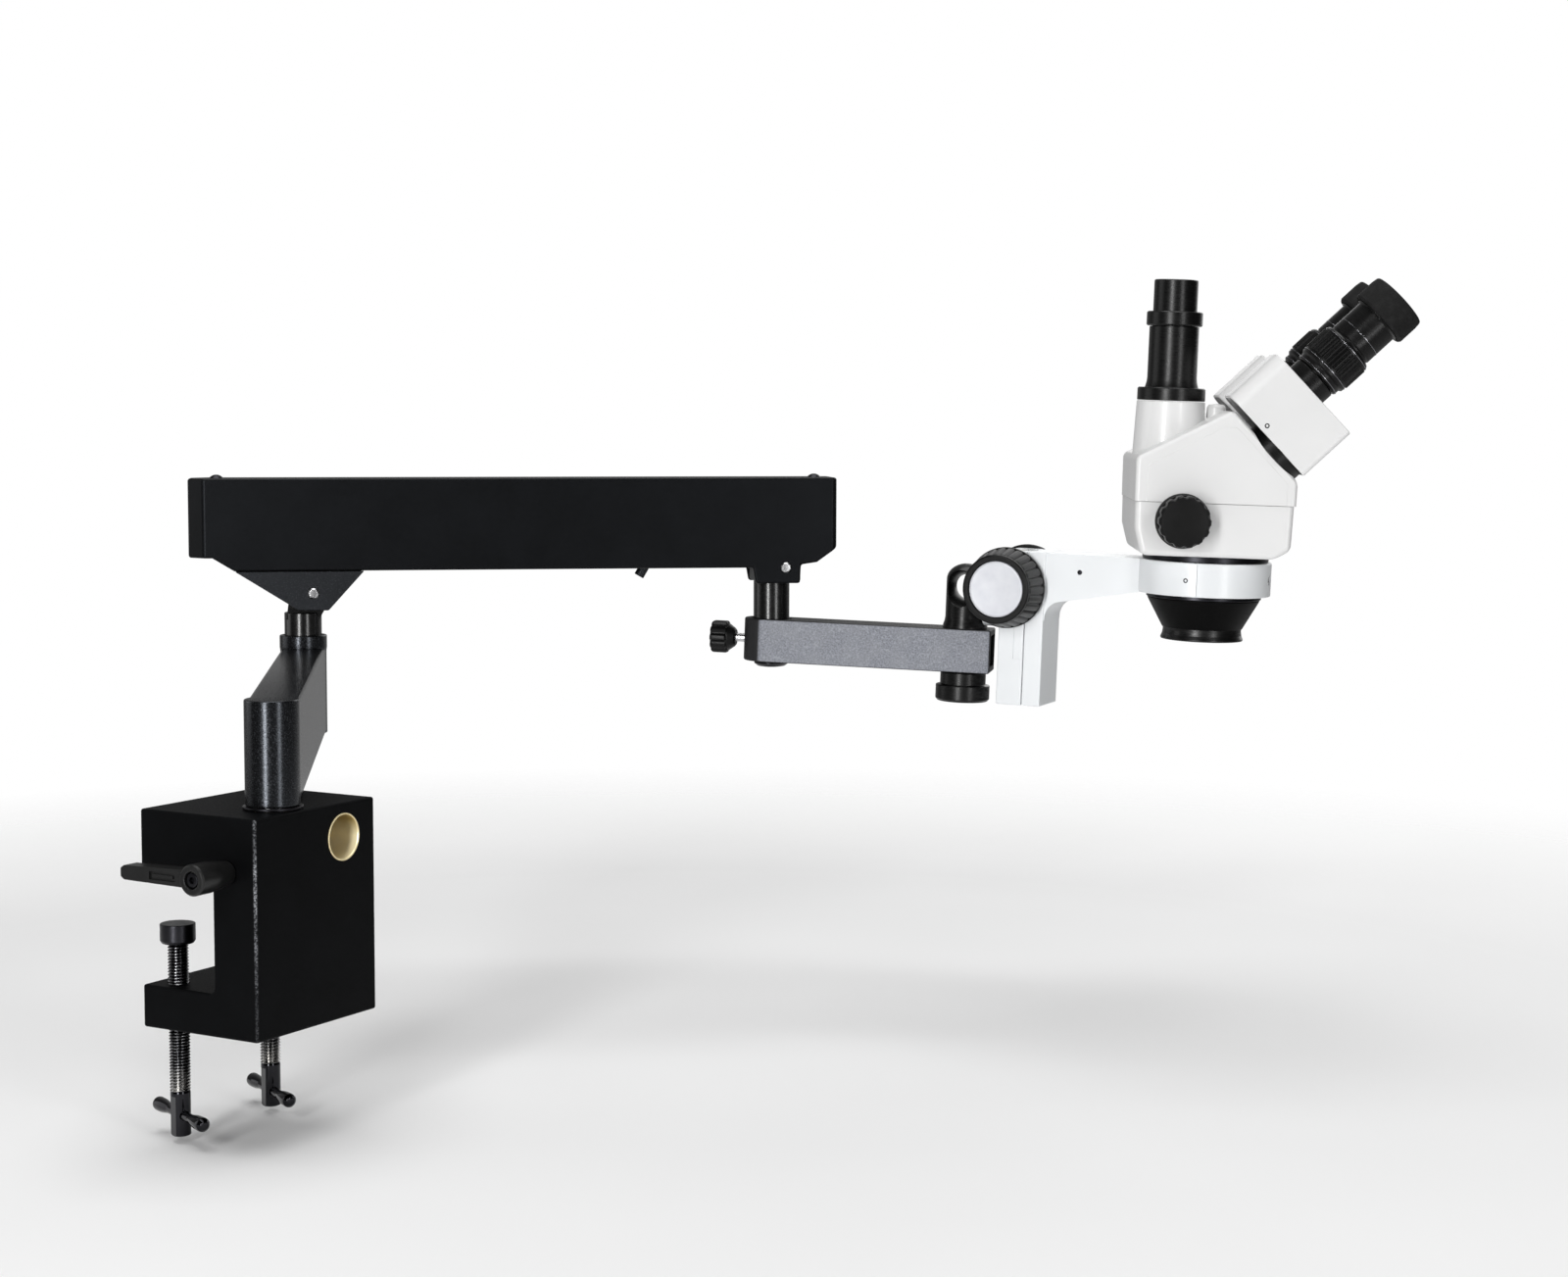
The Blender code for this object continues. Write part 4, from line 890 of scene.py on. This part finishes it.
def head_shells():
    low, part = BODY_LOW, PARTING
    above = box((-80, 80), (-80, 80), (part, part + 40))
    side = [(-52.5, part + 16), (-52.5, part), (-52.2, 93), (-47.4, low), (38.5, low), (49.0, 82),
            (49.8, part), (49.8, part + 16)]
    tub = Piece("head_tub", "lower_body", slab(side, -BODY_HALF, BODY_HALF), HEAD, WHITE_HEAD)
    tub.soften(4.0, 6, 25).cut(above).soften(0.5, 2, 60)
    hollow = [(-48.5, part + 5), (-48.2, 94), (-44.8, 82.3), (38, 82.3), (44, 86), (44.5, part + 5)]
    tub.cut(slab(hollow, -BODY_HALF + 4, BODY_HALF - 4))
    tub.cut(rod(33.3, low - 5, low + 10))
    x, z = ZOOM_AT
    tub.cut(rod(4.4, -60, 60, "Y", (x, 0, z)))

    half = BODY_HALF + 0.4
    roof = [(-52.8, part - 16), (-53.2, 139.2), (6, 170.4), (9, 170.6), (51.2, 126.5), (50.6, part - 16)]
    shell = Piece("head_cover", "upper_shell", slab(roof, -half, half), HEAD, WHITE_HEAD)
    shell.soften(7.0, 8, 40).cut(moved(above, 0, 0, -40 + 0.3))
    panel = [(-45.6, part + 0.3), (-45.6, 134.6), (2.0, 160.0), (10.5, 160.4), (44.6, 125.0),
             (44.6, part + 0.3)]
    raised = slab(rounded(panel, 5.0, 6, keep=(0, 5)), -half - 0.4, half + 0.4)
    side_panel = detail("head_side_panel", "upper_shell", raised, HEAD, WHITE_HEAD)
    side_panel.soften(0.35, 2, 50)
    side_panel.cut(slab([(-90, part - 9), (-90, 200), (90, 200), (90, part - 9)], 3 - half, half - 3))
    tower = [(0, 130), (24.2, 130), (23.8, 140), (22.4, 175.0), (22.0, 175.4), (0, 175.4)]
    shell.join(lathe(tower, at=(TOWER_X, 0, 0)))
    shell.cut(slab([(-49, part - 5), (-49.2, 137), (6.5, 164.2), (45, 124.5), (44.6, part - 5)], -46, 46))
    shell.cut(rod(14, 120, 180, at=(TOWER_X, 0, 0)))
    bowl = [(0, 123.9), (18.6, 123.9)] + arc(18.6, 135.9, 12, 270, 342, 14)[1:] + [(30.5, 140), (0, 140)]
    for sign in (-1, 1):
        pivot = (PRISM_PIVOT, sign * PRISM_Y, 0)
        shell.cut(rod(10.3, 112, 140, at=pivot), SLOPE)
        for seat in (shell, side_panel):
            seat.cut(lathe(bowl, at=pivot), SLOPE)
    hump = [(0, 165), (6.5, 165), (6.2, 172.5), (5.0, 174.2), (0, 174.9)]
    detail("roof_boss", "upper_shell", turned(hump, 1.0, at=(2.4, 0, 0)), HEAD, WHITE_HEAD)


def photo_port():
    at = (TOWER_X, 0, 0)
    base = [(12.3, 175.8), (22.3, 175.8), (22.3, 183.6), (21.4, 184.4), (17.6, 184.4), (16.6, 188),
            (16.3, 191), (16.3, 224.4), (14.8, 224.4), (14.8, 192), (12.3, 192)]
    Piece("port_socket", "photo_base", turned(base, 0.5, at=at), HEAD, BLACK_TUBE)
    ring = [(14.8, 224.8), (17.6, 224.8), (18.4, 225.6), (18.4, 233.4), (17.6, 234.2), (14.8, 234.2)]
    Piece("port_lock_ring", "photo_lock_ring", turned(ring, 0.5, at=at), HEAD, BLACK_TUBE)
    tube = [(12.4, 202), (14.45, 202), (14.45, 254.4), (13.9, 255), (12.9, 255), (12.4, 254.2)]
    Piece("port_tube", "photo_tube", turned(tube, 0.3, at=at), HEAD, BLACK_TUBE)


def optics():
    foot = [(41.5, RING_Z[1] + 0.4), (41.5, BODY_LOW - 0.3), (33, BODY_LOW - 0.3), (33, 82), (28, 82),
            (28, 46.5), (37.8, 46.5), (37.8, RING_Z[1] + 0.4)]
    Piece("dovetail_ring", "mounting_collar", turned(foot, 0.4), HEAD, DARK_STEEL)
    cone = [(24.4, 46.2), (37.2, 46.2), (36.0, 43.8), (26.3, 26.4), (24.4, 26.4)]
    Piece("objective_cone", "objective_barrel", turned(cone, 0.5), HEAD, BLACK_CONE)
    rim = [(24.2, 27.0), (25.9, 27.0), (25.8, 24.8), (26.2, 22.2), (27.2, 19.6), (27.0, 18.6), (25.6, 18.6),
           (24.2, 20.4)]
    detail("objective_rim", "objective_barrel", turned(rim, 0.9), HEAD, BLACK_GLOSS)
    lens = [(0, 27.5), (6, 27.7), (12, 28.3), (18, 29.3), (23.7, 30.7), (23.7, 38), (0, 38)]
    Piece("objective_glass", "objective_lens", turned(lens, 0.8), HEAD, GLASS)
    retainer = [(21.4, 25.4), (23.8, 25.4), (23.8, 31.2), (22.6, 30.2)]
    detail("lens_retainer", "objective_barrel", turned(retainer, 0.3), HEAD, BLACK_TUBE)


def zoom():
    x, z = ZOOM_AT
    axle = (x, 0, z)
    Piece("zoom_axle", "zoom_shaft", rod(4.0, -56, 56, "Y", axle), HEAD, STEEL)
    for side, name in ((-1, "left"), (1, "right")):
        node = f"zoom_knob_{name}"
        skirt = [(4.3, 51.4), (17.2, 51.4), (17.8, 52), (17.8, 55.2), (16.6, 57.6), (4.3, 57.6)]
        Piece(f"zoom_skirt_{name}", node, sided(skirt, 0.5, side, axle), HEAD, BLACK_KNOB)
        shape = grip(scalloped(16.9, 1.1, 14, 10, 0.55), (side * 57.2, side * 69.6), 0.06)
        detail(f"zoom_grip_{name}", node, moved(shape, x, 0, z), HEAD, BLACK_KNOB)
        face = [(0, 69.0), (14.6, 69.0), (14.9, 69.7), (9, 70.2), (0, 70.5)]
        detail(f"zoom_face_{name}", node, sided(face, 0.4, side, axle), HEAD, BLACK_KNOB)


def prism_plan(x0, x1, y, inset):
    """The outline of a prism case: a blunt round nose and two tight corners, drawn in by an inset."""
    nose, corner, half = 11.0, 3.0, 22.0
    plan = []
    for cx, cy, radius, start, steps in ((x0 + nose, y + half - nose, nose, 90, 12),
                                         (x0 + nose, y - half + nose, nose, 180, 12),
                                         (x1 - corner, y - half + corner, corner, 270, 6),
                                         (x1 - corner, y + half - corner, corner, 0, 6)):
        plan += arc(cx, cy, radius - inset, start, start + 90, steps)
    return plan


def oculars():
    x0, x1 = PRISM_LONG
    z0, z1 = PRISM_DEEP
    for name, side in (("left", -1), ("right", 1)):
        y = side * PRISM_Y
        pivot, axis = (PRISM_PIVOT, y, 0), (EYEPIECE_X, y, 0)
        plan, floor_plan = (prism_plan(x0, x1, y, inset) for inset in (0.0, 1.3))
        case = Piece(f"prism_case_{name}", f"prism_{name}", slab(plan, z0, z1, axis="Z"), SLOPE, WHITE_HEAD)
        case.soften(1.0, 4, 60)
        case.cut(slab(floor_plan, z0 - 2, z0 + 1.4, axis="Z"))
        detail(f"prism_floor_{name}", f"prism_{name}", slab(floor_plan, z0 + 0.3, z0 + 1.8, axis="Z"),
               SLOPE, BLACK_TUBE)
        case.cut(rod(10.5, z1 - 24, z1 + 9, at=axis))
        disc = [(0, 119.5), (10.0, 119.5), (10.0, 124.3), (21.6, 124.3), (21.6, z0 + 1), (0, z0 + 1)]
        detail(f"prism_disc_{name}", f"prism_{name}", turned(disc, 0.4, at=pivot), SLOPE, BLACK_TUBE)
        set_screw(f"prism_screw_{name}", f"prism_{name}", EYEPIECE_X, y - 21.8, z0 + 4.5, SLOPE, 1.7)
        eyepiece(name, axis, z1 + 0.3)


def eyepiece(name, axis, top):
    node = f"eyepiece_{name}"
    barrel = [(8.5, top - 22), (10.2, top - 22), (10.2, top), (15.0, top), (15.6, top + 0.6),
              (15.6, top + 9.0), (15.0, top + 9.6), (12.4, top + 9.6), (12.4, top + 33.2),
              (15.4, top + 33.6), (15.4, top + 39.4), (15.9, top + 40.2), (15.9, top + 62),
              (17.2, top + 63), (17.2, top + 71), (11.5, top + 71), (8.5, top + 60)]
    Piece(f"ocular_barrel_{name}", node, turned(barrel, 0.25, at=axis), SLOPE, BLACK_TUBE)
    lens = [(0, top + 62.5), (11.0, top + 61), (12.0, top + 66), (0, top + 67.5)]
    detail(f"eye_lens_{name}", node, turned(lens, 0.4, at=axis), SLOPE, GLASS)
    dial = [(12.8, top + 10.3), (15.9, top + 10.3), (16.6, top + 11.0), (16.6, top + 14.2),
            (18.2, top + 15.6), (18.2, top + 36.8), (17.4, top + 38.0), (16.2, top + 38.0),
            (16.2, top + 33.0), (12.8, top + 32.6)]
    Piece(f"dioptre_core_{name}", f"dioptre_ring_{name}", turned(dial, 0.4, at=axis), SLOPE, BLACK_TUBE)
    ribs = slab(scalloped(19.0, 0.9, 44, 6, 0.5), top + 19.4, top + 34.6, axis="Z")
    detail(f"dioptre_ribs_{name}", f"dioptre_ring_{name}", moved(ribs, axis[0], axis[1]), SLOPE,
           BLACK_KNOB).cut(rod(17.0, top + 10, top + 50, at=axis))
    for index, (height, radius) in enumerate(((11.6, 16.9), (17.6, 18.6), (36.0, 18.6), (47.5, 16.1))):
        line_ring = [(radius - 0.6, top + height - 0.2), (radius, top + height - 0.2),
                     (radius, top + height + 0.2), (radius - 0.6, top + height + 0.2)]
        owner = f"dioptre_ring_{name}" if index < 3 else node
        detail(f"ocular_line_{name}_{index}", owner, turned(line_ring, 0.08, at=axis), SLOPE, CHROME)
    cup = [(17.5, top + 63.4), (19.4, top + 63.4), (20.4, top + 64.8), (20.4, top + 77), (19.9, top + 81),
           (19.2, top + 82), (18.0, top + 81), (17.0, top + 73.6), (13.0, top + 73.0), (13.0, top + 71.4),
           (17.5, top + 71.4)]
    Piece(f"rubber_cup_{name}", f"eyecup_{name}", turned(cup, 0.6, at=axis), SLOPE, RUBBER)


# ---- stage


def keep_cad():
    """Inner parts that stay as they are, with a proper finish."""
    for node in ("parallel_link", "balance_spring"):
        piece = frame["nodes"][node]
        piece.data.materials.clear()
        piece.data.materials.append(INNER_STEEL)


def softbox(name, at, aim, size, power):
    data = bpy.data.lights.new(name, "AREA")
    data.shape, data.size, data.size_y, data.energy = "RECTANGLE", *size, power
    lamp = placed(name, data)
    lamp.location = at
    lamp.rotation_euler = (Vector(aim) - Vector(at)).to_track_quat("-Z", "Y").to_euler()


def studio_world(heading):
    """White for the camera. The world that lights the object dims towards it, so black stays black."""
    world = bpy.data.worlds.new("studio")
    bpy.context.scene.world = world
    world.use_nodes = True
    nodes, link = world.node_tree.nodes, world.node_tree.links.new
    facing = nodes.new("ShaderNodeVectorMath")
    facing.operation = "DOT_PRODUCT"
    facing.inputs[1].default_value = (math.cos(heading), math.sin(heading), 0.15)
    link(nodes.new("ShaderNodeTexCoord").outputs["Generated"], facing.inputs[0])
    ramp = nodes.new("ShaderNodeMapRange")
    for name, number in (("From Min", 0.25), ("From Max", 0.9), ("To Min", 0.05), ("To Max", 0.32)):
        ramp.inputs[name].default_value = number
    link(facing.outputs["Value"], ramp.inputs["Value"])
    dim, plain = nodes["Background"], nodes.new("ShaderNodeBackground")
    for background in (dim, plain):
        background.inputs["Color"].default_value = (1.0, 1.0, 1.0, 1)
    link(ramp.outputs["Result"], dim.inputs["Strength"])
    mix = nodes.new("ShaderNodeMixShader")
    link(nodes.new("ShaderNodeLightPath").outputs["Is Camera Ray"], mix.inputs["Fac"])
    link(dim.outputs[0], mix.inputs[1])
    link(plain.outputs[0], mix.inputs[2])
    link(mix.outputs[0], nodes["World Output"].inputs["Surface"])


def pale_floor(middle, reach):
    """A pale floor just under the object, which fades into the white behind it at its reach in metres."""
    mesh = bpy.data.meshes.new("floor")
    level = CAD_BOX[0][2] - 0.004
    signs = ((-1, -1), (1, -1), (1, 1), (-1, 1))
    corners = [(middle.x + a * reach, middle.y + b * reach, level) for a, b in signs]
    mesh.from_pydata(corners, [], [(0, 1, 2, 3)])
    floor = placed("floor", mesh)
    pale = Finish("pale_floor", (0.82, 0.82, 0.82), 0.7, local=False)
    pale.colour(pale.blend(pale.spread(pale.noise(400.0, 2.0)), (0.80, 0.80, 0.80), (0.84, 0.84, 0.84)))
    away = pale.add("ShaderNodeVectorMath")
    away.operation = "DISTANCE"
    pale.feed(away.inputs[0], pale.where)
    pale.feed(away.inputs[1], (middle.x, middle.y, level))
    clear = pale.add("ShaderNodeBsdfTransparent")
    fade = pale.spread(away.outputs["Value"], 0.0, 1.0, reach * 0.5, reach)
    mix = pale.add("ShaderNodeMixShader", Fac=fade)
    output = pale.tree.nodes["Material Output"]
    pale.feed(mix.inputs[1], pale.shader.outputs[0])
    pale.feed(mix.inputs[2], clear.outputs[0])
    pale.feed(output.inputs["Surface"], mix.outputs[0])
    mesh.materials.append(pale.material)


# name, degrees from the line to the camera, distance and rise in metres, size in metres, watts
SOFTBOXES = (
    ("left_softbox", -22, 2.5, 0.35, (0.38, 2.0), 50),
    ("right_softbox", 34, 2.5, 0.35, (0.45, 2.0), 19),
    ("side_softbox", -95, 2.4, 0.5, (1.4, 1.6), 8),
    ("back_softbox", 150, 2.4, 0.8, (2.0, 1.6), 12),
)
FLOOR_REACH = 1.4


def stage():
    heading, pitch, roll = math.radians(30.0), math.radians(5.02), math.radians(0.15)
    data = bpy.data.cameras.new("camera")
    data.lens, data.sensor_width, data.clip_end = 63.2, 36.0, 100.0
    camera = placed("camera", data)
    spot_m = Matrix.Translation((-1.1966, -1.0517, 0.2719))
    look = Matrix.Rotation(heading - math.pi / 2, 4, "Z") @ Matrix.Rotation(math.pi / 2 - pitch, 4, "X")
    camera.matrix_world = spot_m @ look @ Matrix.Rotation(roll, 4, "Z")
    bpy.context.scene.camera = camera

    middle = (Vector(CAD_BOX[0]) + Vector(CAD_BOX[1])) / 2
    pale_floor(middle, FLOOR_REACH)
    studio_world(heading)
    for name, turn, distance, rise, size, power in SOFTBOXES:
        away = heading + math.pi + math.radians(turn)
        at = middle + Vector((math.cos(away) * distance, math.sin(away) * distance, rise))
        softbox(name, at, middle, size, power)
    sky = bpy.data.lights.new("sky", "SUN")
    sky.energy, sky.angle = 1.9, math.radians(50)
    placed("sky", sky)
    bpy.context.scene.view_settings.view_transform = "Standard"


clamp()
clamp_screws()
lock_lever()
lower_arm()
lower_post()
spring_arm()
upper_post()
extension_arm()
swivel_post()
focus_mount()
focus_slide()
head_shells()
photo_port()
optics()
zoom()
oculars()
keep_cad()
stage()

bpy.context.view_layer.update()
GRAPH = bpy.context.evaluated_depsgraph_get()
for piece in PIECES:
    piece.settle(GRAPH)
